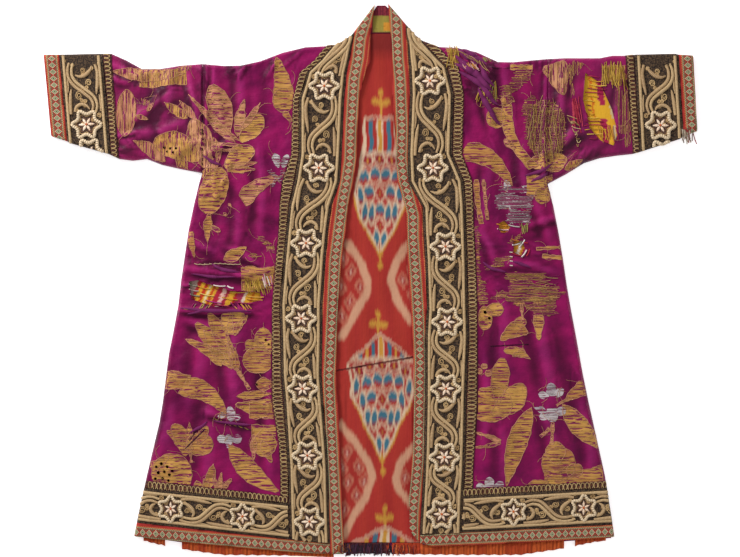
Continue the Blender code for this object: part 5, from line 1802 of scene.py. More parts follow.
    def star_grounds(self) -> bpy.types.Object | None:
        """The black cloth inside the stars, a thin raised disc under each ring."""
        size = self.strip.half / 21.0
        places, faces = [], []
        for run in self.strip.stars:
            x0, y0 = self.strip.place(run, 0.0)
            x1, y1 = self.strip.place(run, 1.0)
            tilt = math.atan2(y1 - y0, x1 - x0)
            start = len(places)
            middle, name = self.drape.top(x0, y0, self.strip.sheets)
            if not name:
                continue
            rings = 4
            places.append((x0 * MM, y0 * MM, (middle + 0.3) * MM))
            for ring in range(1, rings + 1):
                for i in range(36):
                    turn = 2 * math.pi * i / 36
                    reach = size * (13.4 + 2.2 * math.cos(STAR_POINTS * turn)) * ring / rings
                    x, y = x0 + reach * math.cos(turn + tilt), y0 + reach * math.sin(turn + tilt)
                    z, name = self.drape.top(x, y, self.strip.sheets)
                    places.append((x * MM, y * MM, ((z if name else middle) + 0.3) * MM))
            for i in range(36):
                n = (i + 1) % 36
                faces.append((start, start + 1 + i, start + 1 + n))
                for ring in range(rings - 1):
                    a = start + 1 + ring * 36
                    faces.append((a + i, a + 36 + i, a + 36 + n, a + n))
        if not faces:
            return None
        mesh = bpy.data.meshes.new("star_ground_" + self.strip.name)
        mesh.from_pydata(places, [], faces)
        mesh.materials.append(STAR_GROUND.material())
        piece = bpy.data.objects.new("star_ground_" + self.strip.name, mesh)
        bpy.context.scene.collection.objects.link(piece)
        solid = piece.modifiers.new("thin", "SOLIDIFY")
        solid.thickness = 0.25 * MM
        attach(piece, BODY)
        return piece


@dataclass
class LadderBraid:
    """The looped braid beside a border: two crossing threads that make a row of loops, with a bar at each crossing."""

    name: str
    place: Callable[[float, float], Point]
    start: float
    end: float
    sheets: tuple[str, ...]
    pitch: float = 4.9

    def build(self, drape: Drape) -> bpy.types.Object | None:
        """Makes the braid's threads.

        Args:
            drape: The finished cloth.

        Returns:
            The piece.
        """
        scatter = random.Random(sum(map(ord, self.name)))
        strands = []
        count = int((self.end - self.start) / self.pitch)
        for i in range(count):
            base = self.start + i * self.pitch
            tone = scatter.uniform(0.25, 0.85)
            lean = scatter.uniform(-0.12, 0.12)
            loop = [(base + self.pitch * (0.5 + 0.44 * math.sin(t)), 0.08 + 0.8 * math.cos(t) * (1 if t < 0 else 0.9))
                    for t in (math.pi * k / 6 for k in range(-5, 6))]
            bar = [(base + self.pitch * (0.02 + lean), -0.86), (base + self.pitch * 0.0, 0.0),
                   (base - self.pitch * lean, 0.86)]
            for line, radius in ((loop, 0.58), (bar, 0.7)):
                points = []
                for run, share in line:
                    x, y = self.place(run, share)
                    z, name = drape.top(x, y, self.sheets)
                    if name:
                        points.append((x, y, z + 0.45))
                if len(points) > 2:
                    strands.append(Strand(points, [radius] * len(points), tone))
        return lay_cords("braid_loop_" + self.name, strands, LADDER_CORD, 5, 0.8)


def ladders() -> list[LadderBraid]:
    """The ladder braids beside the fronts, along the hems and round the cuffs.

    Returns:
        The braids.
    """
    made = []
    for side, lines in (("left", LEFT_LINES), ("right", RIGHT_LINES)):
        def upright(run: float, share: float, lines: tuple = lines) -> Point:
            ladder, outer, _, _ = table_at(lines, -run)
            way = 1 if ladder > outer else -1
            inner = outer + way * 2.0
            return (ladder + inner) / 2 + share * (ladder - inner) / 2, -run
        made.append(LadderBraid("front_" + side, upright, -282, 262, ("front_braid_" + side,)))
    for side, top, rail in (("left", (-266, -240, -97, -259), (-267, -253, -94, -271)),
                            ("right", (285, -240, 111, -250), (285, -252, 111, -262))):
        def level(run: float, share: float, top: tuple = top, rail: tuple = rail) -> Point:
            high = top[1] + (run - top[0]) * (top[3] - top[1]) / (top[2] - top[0])
            low = rail[1] + 2.0 + (run - rail[0]) * (rail[3] - rail[1]) / (rail[2] - rail[0])
            return run, (high + low) / 2 + share * (high - low) / 2
        low, high = sorted((top[0], top[2]))
        made.append(LadderBraid("hem_" + side, level, low, high, ("hem_braid_" + side,), 5.2))
    for side, ladder, rail in (("left", (-310, 271, -301, 145), (-324, 271, -314, 151)),
                               ("right", (305, 269, 314, 151), (319, 270, 325, 154))):
        def round_cuff(run: float, share: float, ladder: tuple = ladder, rail: tuple = rail) -> Point:
            a = ladder[0] + (-run - ladder[1]) * (ladder[2] - ladder[0]) / (ladder[3] - ladder[1])
            b = rail[0] + (-run - rail[1]) * (rail[2] - rail[0]) / (rail[3] - rail[1])
            return (a + b) / 2 + share * 0.85 * (a - b) / 2, -run
        made.append(LadderBraid("cuff_" + side, round_cuff, -270, -146, ("cuff_braid_" + side,)))
    return made


class Shape(Enum):
    """The outlines from which the brocade's flowers and leaves are made."""

    LEAF = "l"
    PETAL = "p"
    ROUND = "r"
    BAND = "b"
    HORN = "h"
    CUP = "c"


@dataclass(frozen=True)
class Motif:
    """One figure of the brocade, in pixels: its base, its tip, its greatest width and its sideways bend.

    Its marks are s for silver, w for worn, v for veins and k for the pinker thread.
    """

    shape: Shape
    x0: float
    y0: float
    x1: float
    y1: float
    width: float
    bend: float = 0.0
    marks: str = ""

    def half_width(self, t: float) -> float:
        """Half the figure's width at a share of its length."""
        half = self.width / 2
        if self.shape is Shape.LEAF:
            return half * math.sin(math.pi * t ** 0.8) ** 0.95
        if self.shape is Shape.PETAL:
            return half * math.sin(math.pi * min(1.0, t * 0.93 + 0.05) ** 1.3) ** 0.62
        if self.shape is Shape.ROUND:
            return half * math.sqrt(max(0.0, 1 - (2 * t - 1) ** 2))
        if self.shape is Shape.BAND:
            return half * (0.9 + 0.1 * math.sin(7 * t))
        if self.shape is Shape.HORN:
            return half * (1 - t) ** 0.6 * min(1.0, 0.7 + 2.5 * t)
        return half * (0.35 + 0.65 * math.sin(math.pi * min(1.0, 0.12 + 0.62 * t)))

    def spot(self, t: float, s: float) -> Point:
        """A place on the figure.

        Args:
            t: The share of its length.
            s: The share of its half width, from -1 to 1.

        Returns:
            The place in pixels.
        """
        run = math.hypot(self.x1 - self.x0, self.y1 - self.y0)
        ux, uy = (self.x1 - self.x0) / run, (self.y1 - self.y0) / run
        uneven = 0.35 * math.sin(t * run / 2.3 + self.x0) + 0.25 * math.sin(t * run / 1.1 + self.y0)
        off = self.bend * math.sin(math.pi * t) + s * (self.half_width(t) + uneven * (t < 0.97))
        return self.x0 + ux * run * t - uy * off, self.y0 + uy * run * t + ux * off

    def outline(self, count: int = 20) -> list[Point]:
        """The figure's outline, in pixels."""
        left = [self.spot(i / count, 1.0) for i in range(count + 1)]
        right = [self.spot(i / count, -1.0) for i in range(count + 1)]
        return left + right[::-1]


def motifs(rows: Sequence[tuple]) -> tuple[Motif, ...]:
    """Reads a table of figures: letter of the shape, base, tip, width, bend and marks."""
    return tuple(Motif(Shape(letter), *rest) for letter, *rest in rows)


LEFT_FIGURES = motifs((
    # Spray at the underarm, and the leaves round it
    ("p", 229, 134, 212, 86, 23, 1, "k"), ("l", 238, 137, 245, 100, 10, -1, "k"), ("l", 243, 130, 261, 103, 6, 0, "k"),
    ("p", 241, 142, 262, 116, 20, 0, ""), ("l", 239, 141, 189, 95, 6, -2, "k"), ("l", 236, 143, 203, 112, 8, -1, "k"),
    ("b", 214, 144, 240, 146, 3, 0, "k"), ("b", 214, 150, 238, 151, 2.4, 0, "k"), ("p", 226, 168, 254, 149, 20, -2, ""),
    ("l", 228, 171, 256, 170, 7, -1, ""), ("l", 228, 168, 258, 163, 6, 0, "k"), ("r", 222, 168, 206, 214, 27, 0, ""),
    ("l", 210, 213, 208, 242, 8, 1, ""), ("l", 211, 226, 221, 232, 5, 0, "k"), ("h", 243, 201, 280, 177, 19, -4, "k"),
    ("l", 224, 260, 247, 247, 12, 1, ""), ("h", 190, 232, 195, 258, 8, 0, ""), ("h", 284, 106, 277, 58, 24, 2, ""),
    ("r", 273, 102, 294, 100, 24, 0, ""), ("l", 284, 112, 292, 122, 6, 0, ""), ("l", 258, 236, 274, 248, 5, 0, "kw"),
    ("l", 266, 244, 276, 254, 5, 0, "kw"), ("b", 242, 279, 275, 278, 25, 0, ""), ("l", 250, 256, 260, 256, 4, 0, "w"),
    ("l", 224, 213, 227, 216, 3, 0, "k"), ("l", 229, 204, 232, 207, 3, 0, "k"),
    # Tulip, its bud and the half flower at the braid
    ("p", 236, 369, 210, 313, 14, 1, ""), ("p", 233, 368, 197, 323, 15, 1, ""), ("l", 232, 366, 204, 330, 18, 1, ""),
    ("h", 224, 362, 186, 339, 14, 2, ""), ("l", 238, 371, 233, 344, 9, -1, ""), ("c", 231, 334, 228, 313, 12, -2, ""),
    ("c", 232, 334, 239, 311, 14, 0, ""), ("h", 232, 332, 248, 315, 10, 1, ""), ("b", 227, 332, 231, 354, 1.4, 0, ""),
    ("b", 237, 368, 250, 389, 3, 0, "k"), ("p", 270, 362, 247, 341, 17, 0, ""), ("p", 270, 352, 262, 328, 17, -2, ""),
    ("r", 243, 360, 274, 360, 26, 0, ""), ("l", 256, 384, 275, 384, 13, 0, ""),
    # Long leaf and the stack beside it
    ("b", 166, 380, 190, 384, 19, -2, ""), ("h", 184, 385, 227, 413, 25, -6, ""), ("l", 237, 396, 273, 393, 8, 0, ""),
    ("h", 274, 409, 236, 404, 22, -1, ""), ("b", 250, 410, 274, 410, 17, 0, ""), ("b", 252, 430, 276, 430, 12, 0, ""),
    ("p", 266, 428, 264, 456, 24, 0, ""), ("l", 254, 434, 254, 460, 6, 0, "k"), ("l", 262, 440, 272, 462, 9, 0, ""),
    # Flower with a deep crease, curved leaf, berry and the small leaves above the hem
    ("p", 190, 450, 174, 424, 15, 1, ""), ("h", 190, 452, 168, 430, 14, 1, ""), ("l", 190, 446, 190, 422, 7, 0, ""),
    ("r", 186, 444, 214, 444, 22, 0, ""), ("p", 198, 444, 208, 426, 9, 0, ""), ("b", 191, 452, 192, 462, 2.4, 0, "k"),
    ("l", 229, 444, 281, 493, 20, 5, ""), ("r", 152, 474, 193, 474, 42, 0, ""), ("h", 152, 468, 170, 455, 12, 0, ""),
    ("l", 206, 490, 214, 463, 10, 1, ""), ("l", 200, 490, 197, 480, 8, 0, ""), ("l", 208, 488, 204, 478, 6, 0, ""),
    ("l", 219, 492, 222, 472, 5, 0, "k"), ("l", 221, 491, 232, 478, 5, 0, "k"), ("l", 217, 490, 214, 474, 4, 0, "k"),
    # Silver blossoms
    ("p", 279, 168, 275, 154, 8, 0, "s"), ("p", 283, 168, 288, 155, 8, 0, "s"), ("b", 270, 170, 286, 184, 3, 2, "skw"),
    ("b", 272, 186, 284, 172, 3, 0, "skw"), ("p", 232, 421, 230, 406, 10, 0, "s"), ("l", 218, 416, 228, 414, 6, 0, "s"),
    ("l", 234, 418, 243, 415, 6, 0, "s"), ("l", 221, 418, 226, 409, 6, 0, ""), ("p", 228, 440, 218, 437, 9, 0, "s"),
    ("p", 232, 440, 242, 437, 9, 0, "s"), ("p", 229, 448, 229, 434, 8, 0, "s"),
))
RIGHT_FIGURES = motifs((
    # Long leaf, and the large worn flower of the chest
    ("h", 463, 150, 512, 186, 24, -8, ""), ("r", 486, 119, 505, 118, 20, 0, ""), ("b", 506, 102, 533, 168, 11, 9, ""),
    ("r", 544, 100, 546, 160, 40, 0, "kw"), ("l", 504, 140, 514, 150, 7, 0, "k"), ("p", 526, 164, 566, 160, 18, 0, ""),
    ("b", 502, 104, 512, 98, 10, 0, ""), ("l", 550, 172, 566, 160, 9, 0, ""), ("b", 526, 186, 552, 186, 22, 0, ""),
    ("r", 534, 196, 550, 196, 16, 0, ""), ("p", 524, 118, 533, 97, 12, 0, "w"), ("h", 526, 68, 500, 98, 17, -3, "w"), ("b", 510, 68, 532, 68, 5, 0, ""),
    ("b", 483, 100, 496, 96, 14, 0, "w"), ("b", 476, 180, 481, 224, 5, 1, ""), ("b", 483, 180, 487, 220, 3, 0, "k"),
    ("b", 475, 226, 478, 300, 7, 0, "w"), ("b", 448, 58, 456, 56, 18, 0, ""), ("b", 504, 86, 510, 104, 8, 0, "w"),
    ("b", 494, 261, 510, 257, 5, 0, "w"), ("b", 486, 268, 504, 264, 4, 0, "w"), ("b", 536, 249, 563, 247, 3, 0, ""),
    ("b", 542, 256, 563, 258, 4, 0, ""), ("b", 506, 276, 545, 276, 8, 0, "w"), ("b", 510, 244, 520, 236, 4, 0, "w"),
    # Worn crown with its stalk, leaf and pendant, and the flower at the braid
    ("b", 508, 290, 556, 298, 24, -1, "w"), ("l", 512, 304, 566, 292, 12, 0, "w"), ("l", 524, 306, 560, 314, 10, 0, "w"),
    ("b", 521, 304, 522, 320, 2.4, 0, "k"), ("h", 524, 326, 500, 340, 20, 2, ""), ("r", 514, 322, 526, 322, 10, 0, ""),
    ("h", 538, 315, 538, 340, 12, 0, ""), ("r", 478, 318, 492, 318, 24, 0, ""), ("r", 486, 310, 503, 309, 13, 0, ""),
    ("b", 478, 282, 484, 304, 10, 0, "w"), ("l", 492, 298, 510, 292, 7, 0, "kw"),
    ("l", 503, 350, 530, 359, 9, -3, ""), ("h", 524, 350, 512, 356, 7, 0, ""),
    # Lotus, berries, twig and curved leaf
    ("r", 468, 404, 512, 404, 35, 0, ""), ("p", 497, 402, 502, 358, 18, 0, ""), ("p", 492, 414, 524, 385, 24, 3, ""),
    ("r", 481, 366, 487, 366, 6, 0, "k"), ("r", 485, 373, 491, 373, 6, 0, "k"), ("r", 477, 371, 482, 371, 5, 0, "k"),
    ("h", 500, 441, 474, 432, 5, 1, "k"), ("h", 500, 442, 474, 447, 5, -1, "k"),
    ("l", 531, 407, 506, 486, 20, 3, ""),
    # Pear with its stalks, leaves at the side edge and the hem
    ("r", 541, 464, 575, 462, 34, 0, ""), ("p", 556, 464, 554, 441, 20, 0, ""), ("b", 552, 422, 551, 444, 3, 0, "k"),
    ("b", 549, 428, 540, 436, 3.4, 0, "k"), ("b", 556, 405, 572, 398, 2.4, -1, "k"), ("h", 585, 386, 565, 399, 17, 0, ""),
    ("l", 562, 404, 603, 450, 19, 2, ""), ("b", 544, 478, 602, 472, 16, 2, ""), ("r", 566, 472, 582, 468, 14, 0, ""),
    ("l", 527, 485, 548, 481, 8, 0, ""),
    # Silver blossoms and the worn silver of the chest
    ("r", 550, 382, 551, 396, 10, 0, "s"), ("p", 548, 397, 538, 393, 8, 0, "s"), ("p", 553, 396, 563, 389, 8, 0, "s"),
    ("c", 552, 421, 551, 408, 12, 0, "s"), ("l", 546, 411, 533, 407, 6, 0, "s"), ("p", 548, 413, 539, 418, 9, 0, "s"),
    ("p", 555, 413, 565, 409, 10, 0, "s"), ("r", 489, 476, 489, 489, 9, 0, "s"), ("p", 487, 489, 476, 485, 8, 0, "s"),
    ("p", 492, 489, 503, 482, 8, 0, "s"), ("b", 500, 190, 526, 189, 8, 1, "sw"), ("b", 496, 202, 532, 203, 15, 0, "sw"),
    ("b", 507, 216, 529, 218, 15, 0, "sw"), ("h", 508, 190, 505, 180, 9, 0, "s"),
))
LEFT_SLEEVE_FIGURES = motifs((
    ("l", 114, 72, 186, 74, 13, 3, "k"), ("b", 140, 79, 187, 76, 19, 1, ""), ("b", 178, 68, 192, 66, 9, 0, "w"),
    ("r", 117, 113, 137, 114, 46, 0, "k"), ("l", 188, 119, 165, 103, 9, 0, ""), ("l", 197, 121, 180, 101, 7, 0, "k"),
    ("p", 200, 160, 155, 141, 27, 4, ""), ("p", 206, 168, 194, 120, 24, 2, "k"), ("p", 214, 172, 212, 138, 17, 0, "k"),
    ("l", 222, 172, 196, 178, 9, 2, ""), ("l", 178, 152, 188, 178, 10, 0, ""), ("l", 166, 162, 134, 141, 13, 2, "k"),
    ("l", 136, 116, 149, 120, 4, 0, "k"), ("l", 142, 100, 152, 106, 6, 0, "kw"), ("l", 148, 112, 154, 104, 4, 0, "k"),
))
RIGHT_SLEEVE_FIGURES = motifs((
    ("h", 553, 64, 563, 96, 27, 0, "k"), ("b", 570, 66, 580, 70, 14, 0, "w"),
    ("b", 606, 74, 626, 73, 16, 0, ""), ("l", 564, 170, 582, 160, 8, 0, ""), ("b", 568, 66, 572, 96, 4, 0, "w"),
    ("b", 618, 90, 622, 134, 8, 0, "kw"), ("b", 626, 90, 627, 146, 6, 0, "kw"),
))
# Spots without gilt in the flowers and berries: middle and radius in pixels
EYES = (
    (157, 466, 1.3), (162, 463, 1.5), (168, 466, 1.5), (173, 470, 1.4), (159, 472, 1.6), (165, 471, 1.4),
    (170, 474, 1.5), (156, 478, 1.4), (163, 478, 1.5), (169, 480, 1.3), (266, 340, 1.2), (269, 344, 1.1),
    (165, 148, 1.3), (171, 149, 1.3), (177, 149, 1.3), (168, 152, 1.2), (174, 153, 1.2), (257, 384, 1.1),
    (485, 312, 1.8), (489, 318, 1.4), (252, 286, 1.5), (258, 284, 1.5), (256, 290, 1.4), (262, 289, 1.4),
)
CREASE_SHADE_LINES = (
    # Painted shade along deep folds that cut across the flowers, as dark silk lines: pixels, radius in millimetres
    (186, 448, 206, 428, 0.9), (190, 440, 200, 426, 0.8), (490, 346, 528, 344, 0.6),
)


@dataclass(frozen=True)
class GiltWeft(Finish):
    """Gilt or silver weft that floats over the silk in close rows, dull yellow with pinker and darker rows."""

    way: Grain = Grain.ACROSS
    dark: str = "6E2A40"
    middle: str = "A2643A"
    light: str = "C8944A"
    silk: str = "7A1048"

    def dress(self, tree: bpy.types.NodeTree, shader: bpy.types.Node) -> None:
        """Rows drawn 1.2 mm wide, coarser than the real ones of 0.5 mm, with silk between them where worn."""
        rows = self.grain(tree, 1.9, self.way, 1.0)
        broad = self.grain(tree, 6.0, self.way, 2.0)
        tone = add_node(tree, "ShaderNodeAttribute", {"attribute_name": "tone"}).outputs["Fac"]
        wear = add_node(tree, "ShaderNodeAttribute", {"attribute_name": "wear"}).outputs["Fac"]
        share = maths(tree, "ADD", maths(tree, "MULTIPLY", rows, 0.9),
                      maths(tree, "MULTIPLY", maths(tree, "ADD", broad, tone), 0.45))
        ramp = add_node(tree, "ShaderNodeValToRGB", {
            "stops": ((0.5, self.dark), (0.74, self.middle), (1.0, self.light))}, {0: share}).outputs[0]
        gap = maths(tree, "ADD", maths(tree, "MULTIPLY", wear, 0.32), maths(tree, "SUBTRACT", 1.0, rows))
        bare = maths(tree, "GREATER_THAN", gap, 0.6)
        tree.links.new(blend_colours(tree, bare, ramp, self.silk), shader.inputs["Base Color"])
        self.relief(tree, shader, rows, 0.6)


GILT_ACROSS = GiltWeft("gilt_weft", roughness=0.55, specular=0.3)
GILT_UP = GiltWeft("gilt_weft_sleeve", roughness=0.55, specular=0.3, way=Grain.UP)
PINK_ACROSS = GiltWeft("pink_gilt_weft", roughness=0.55, specular=0.3, dark="762746", middle="AC674E", light="C88D64")
PINK_UP = GiltWeft("pink_gilt_weft_sleeve", roughness=0.55, specular=0.3, way=Grain.UP, dark="762746",
                   middle="AC674E", light="C88D64")
SILVER_WEFT = GiltWeft("silver_weft", roughness=0.5, specular=0.3, dark="76586A", middle="A2929A", light="C8BEBE")
RIM = Thread("gilt_rim_thread", roughness=0.6, dark="9A5A4A", light="CC946C", rib=4.0, rib_depth=0.1)
DEEP_SILK = Thread("deep_silk_line", roughness=0.7, dark="4A0A30", light="6A1048", rib=4.0, rib_depth=0.1)


class Brocade:
    """The brocade of one piece of silk: each figure a thin patch of weft rows, its rim, and loose rows on top."""

    CELL = 1.7
    ROW = 2.4
    RADIUS = 0.3
    STEP = 5.0

    def __init__(self, name: str, figures: Sequence[Motif], sheets: tuple[str, ...], upright: bool,
                 drape: Drape) -> None:
        """Keeps what it dresses.

        Args:
            name: The name of its pieces.
            figures: The figures.
            sheets: The cloth that the threads may lie on.
            upright: True where the threads run along Y.
            drape: The finished cloth.
        """
        self.name = name
        self.figures = figures
        self.sheets = sheets
        self.upright = upright
        self.drape = drape
        self.scatter = random.Random(len(name) * 31 + len(figures))

    def patch(self, name: str, figures: Sequence[Motif], finish: Finish) -> bpy.types.Object | None:
        """Draws figures as one thin piece that lies on the silk.

        Args:
            name: The piece's name.
            figures: The figures.
            finish: Their finish.

        Returns:
            The piece, or nothing where no figure lies on the silk.
        """
        places, faces, tones, wears = [], [], [], []
        for order, figure in enumerate(figures):
            run = math.hypot(figure.x1 - figure.x0, figure.y1 - figure.y0) * PIXEL
            rows = max(3, round(run / self.CELL))
            columns = max(2, round(figure.width * PIXEL / self.CELL))
            tone = self.scatter.uniform(0.2, 0.75)
            worn = 0.8 if "w" in figure.marks else 0.1
            lift = 0.12 + 0.05 * (order % 4)
            kept = {}
            for i in range(rows + 1):
                for j in range(columns + 1):
                    x, y = spot(*figure.spot(i / rows, 2 * j / columns - 1))
                    z, found = self.drape.top(x, y)
                    if found in self.sheets:
                        kept[i, j] = len(places)
                        places.append((x * MM, y * MM, (z + lift) * MM))
                        tones.append(tone)
                        wears.append(min(1.0, worn * (0.5 + self.scatter.random())))
            for i in range(rows):
                for j in range(columns):
                    corners = ((i, j), (i, j + 1), (i + 1, j + 1), (i + 1, j))
                    if all(c in kept for c in corners):
                        faces.append([kept[c] for c in corners])
        if not faces:
            return None
        mesh = bpy.data.meshes.new(name)
        mesh.from_pydata(places, [], faces)
        mesh.attributes.new("tone", "FLOAT", "POINT").data.foreach_set("value", tones)
        mesh.attributes.new("wear", "FLOAT", "POINT").data.foreach_set("value", wears)
        bm = bmesh.new()
        bm.from_mesh(mesh)
        bmesh.ops.dissolve_degenerate(bm, dist=1e-6, edges=bm.edges)
        for face in bm.faces:
            face.smooth = True
            if face.normal.z < 0:
                face.normal_flip()
        bmesh.ops.delete(bm, geom=[v for v in bm.verts if not v.link_faces], context="VERTS")
        bm.to_mesh(mesh)
        bm.free()
        mesh.materials.append(finish.material())
        piece = bpy.data.objects.new(name, mesh)
        bpy.context.scene.collection.objects.link(piece)
        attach(piece, BODY)
        log.info("%s: %d faces", name, len(mesh.polygons))
        return piece

    def along_line(self, points: Sequence[Point], radius: float, tone: float, lift: float) -> list[Strand]:
        """Lays a line of pixels on the silk in as many lengths as lie on it.

        Args:
            points: The line.
            radius: The thread's radius in millimetres.
            tone: Its tone.
            lift: Its height above the silk.

        Returns:
            The strands.
        """
        made, kept = [], []
        for px, py in points:
            x, y = spot(px, py)
            z, found = self.drape.top(x, y)
            if found in self.sheets:
                kept.append((x, y, z + lift))
            else:
                if len(kept) > 1:
                    made.append(Strand(kept, [radius] * len(kept), tone))
                kept = []
        if len(kept) > 1:
            made.append(Strand(kept, [radius] * len(kept), tone))
        return made

    def rows(self, figure: Motif) -> list[Strand]:
        """Loose rows of weft over one figure, their ends frayed past its outline.

        Args:
            figure: The figure.

        Returns:
            The strands.
        """
        outline = figure.outline()
        across, along = (0, 1) if self.upright else (1, 0)
        worn = "w" in figure.marks
        pitch = self.ROW / PIXEL * (0.6 if worn else 1.0)
        fray = 2.2 if worn else 0.5
        low_row = min(p[across] for p in outline)
        high_row = max(p[across] for p in outline)
        made = []
        row = low_row + 0.4
        while row < high_row:
            hits = []
            for a, b in zip(outline, outline[1:] + [outline[0]]):
                if (a[across] > row) != (b[across] > row):
                    hits.append(a[along] + (row - a[across]) / (b[across] - a[across]) * (b[along] - a[along]))
            hits.sort()
            for low, high in zip(hits[::2], hits[1::2]):
                if self.scatter.random() < (0.1 if worn else 0.35):
                    continue
                low += self.scatter.uniform(-fray, fray)
                high += self.scatter.uniform(-fray, fray)
                if high - low < 2:
                    continue
                slack = self.scatter.uniform(-0.5, 0.5) * (2.0 if worn else 0.6)
                count = max(2, round((high - low) * PIXEL / self.STEP))
                line = []
                for i in range(count + 1):
                    place = low + (high - low) * i / count
                    off = row + slack * math.sin(math.pi * i / count)
                    line.append((off, place) if self.upright else (place, off))
                made += self.along_line(line, self.RADIUS, self.scatter.uniform(0.1, 1.0), 0.42)
            row += pitch * self.scatter.uniform(0.75, 1.3)
        return made

    def strays(self) -> list[Strand]:
        """Fine broken threads that curl over the silk beside the figures."""
        made = []
        for figure in self.figures:
            for _ in range(2):
                x, y = figure.spot(self.scatter.random(), self.scatter.choice((-1, 1)))
                turn = self.scatter.uniform(0, 2 * math.pi)
                bend = self.scatter.uniform(-0.3, 0.3)
                line = []
                for _ in range(self.scatter.randint(4, 11)):
                    line.append((x, y))
                    x += 1.7 * math.cos(turn)
                    y += 1.7 * math.sin(turn)
                    turn += bend + self.scatter.uniform(-0.2, 0.2)
                made += self.along_line(line, 0.2, self.scatter.uniform(0.2, 1.0), 0.5)
        return made

    def veins(self, figure: Motif) -> list[Strand]:
        """The bare lines of a leaf: its midrib and short side veins.

        Args:
            figure: The leaf.

        Returns:
            The strands.
        """
        made = self.along_line([figure.spot(0.06 + 0.8 * i / 12, 0.0) for i in range(13)], 0.35, 0.5, 0.4)
        for k in range(1, 7):
            t = 0.08 + 0.11 * k
            for side in (-1, 1):
                made += self.along_line([figure.spot(t, 0.08 * side), figure.spot(t + 0.05, 0.6 * side)], 0.25, 0.4,
                                        0.38)
        return made

    def eyes(self) -> bpy.types.Object | None:
        """The small bare spots, flat discs of silk over the gilt."""
        places, faces = [], []
        for px, py, radius in EYES:
            x0, y0 = spot(px, py)
            z, found = self.drape.top(x0, y0)
            if found not in self.sheets:
                continue
            start = len(places)
            for i in range(10):
                turn = 2 * math.pi * i / 10
                places.append(((x0 + radius * PIXEL * math.cos(turn)) * MM,
                               (y0 + radius * PIXEL * math.sin(turn)) * MM, (z + 0.62) * MM))
            faces.append(list(range(start, start + 10)))
        if not faces:
            return None
        mesh = bpy.data.meshes.new("bare_spot_" + self.name)
        mesh.from_pydata(places, [], faces)
        mesh.materials.append(MAGENTA.material())
        piece = bpy.data.objects.new("bare_spot_" + self.name, mesh)
        bpy.context.scene.collection.objects.link(piece)
        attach(piece, BODY)
        return piece

    def build(self) -> list[bpy.types.Object]:
        """Makes the patches, rims, rows and veins.

        Returns:
            The pieces.
        """
        silver = [f for f in self.figures if "s" in f.marks]
        pink = [f for f in self.figures if "k" in f.marks and "s" not in f.marks]
        gilt = [f for f in self.figures if f not in silver and f not in pink]
        made = [self.patch("gilt_figure_" + self.name, gilt, GILT_UP if self.upright else GILT_ACROSS),
                self.patch("pink_figure_" + self.name, pink, PINK_UP if self.upright else PINK_ACROSS),
                self.patch("silver_figure_" + self.name, silver, SILVER_WEFT)]
        rims, gold_rows, silver_rows, bare = [], [], [], []
        for figure in self.figures:
            (silver_rows if figure in silver else gold_rows).extend(self.rows(figure))
            if "w" not in figure.marks and figure not in silver:
                edge = figure.outline()
                rims += self.along_line(edge + edge[:1], 0.45, self.scatter.uniform(0.3, 0.8), 0.34)
            if "v" in figure.marks:
                bare += self.veins(figure)
        # Painted shade along the deep folds, drawn as dark silk lines over the gilt; the veins beside them are real
        # bare silk
        for x0, y0, x1, y1, radius in CREASE_SHADE_LINES:
            bare += self.along_line([(x0 + (x1 - x0) * i / 8, y0 + (y1 - y0) * i / 8) for i in range(9)], radius, 0.2,
                                    0.4)
        rims += self.strays()
        made += [lay_cords("gilt_rim_" + self.name, rims, RIM, 4, 0.6),
                 lay_cords("gilt_row_" + self.name, gold_rows, GOLD_FLOAT, 4, 0.7),
                 lay_cords("silver_row_" + self.name, silver_rows, SILVER_FLOAT, 4, 0.7),
                 lay_cords("bare_line_" + self.name, bare, DEEP_SILK, 4, 0.5),
                 self.eyes()]
        return [m for m in made if m]


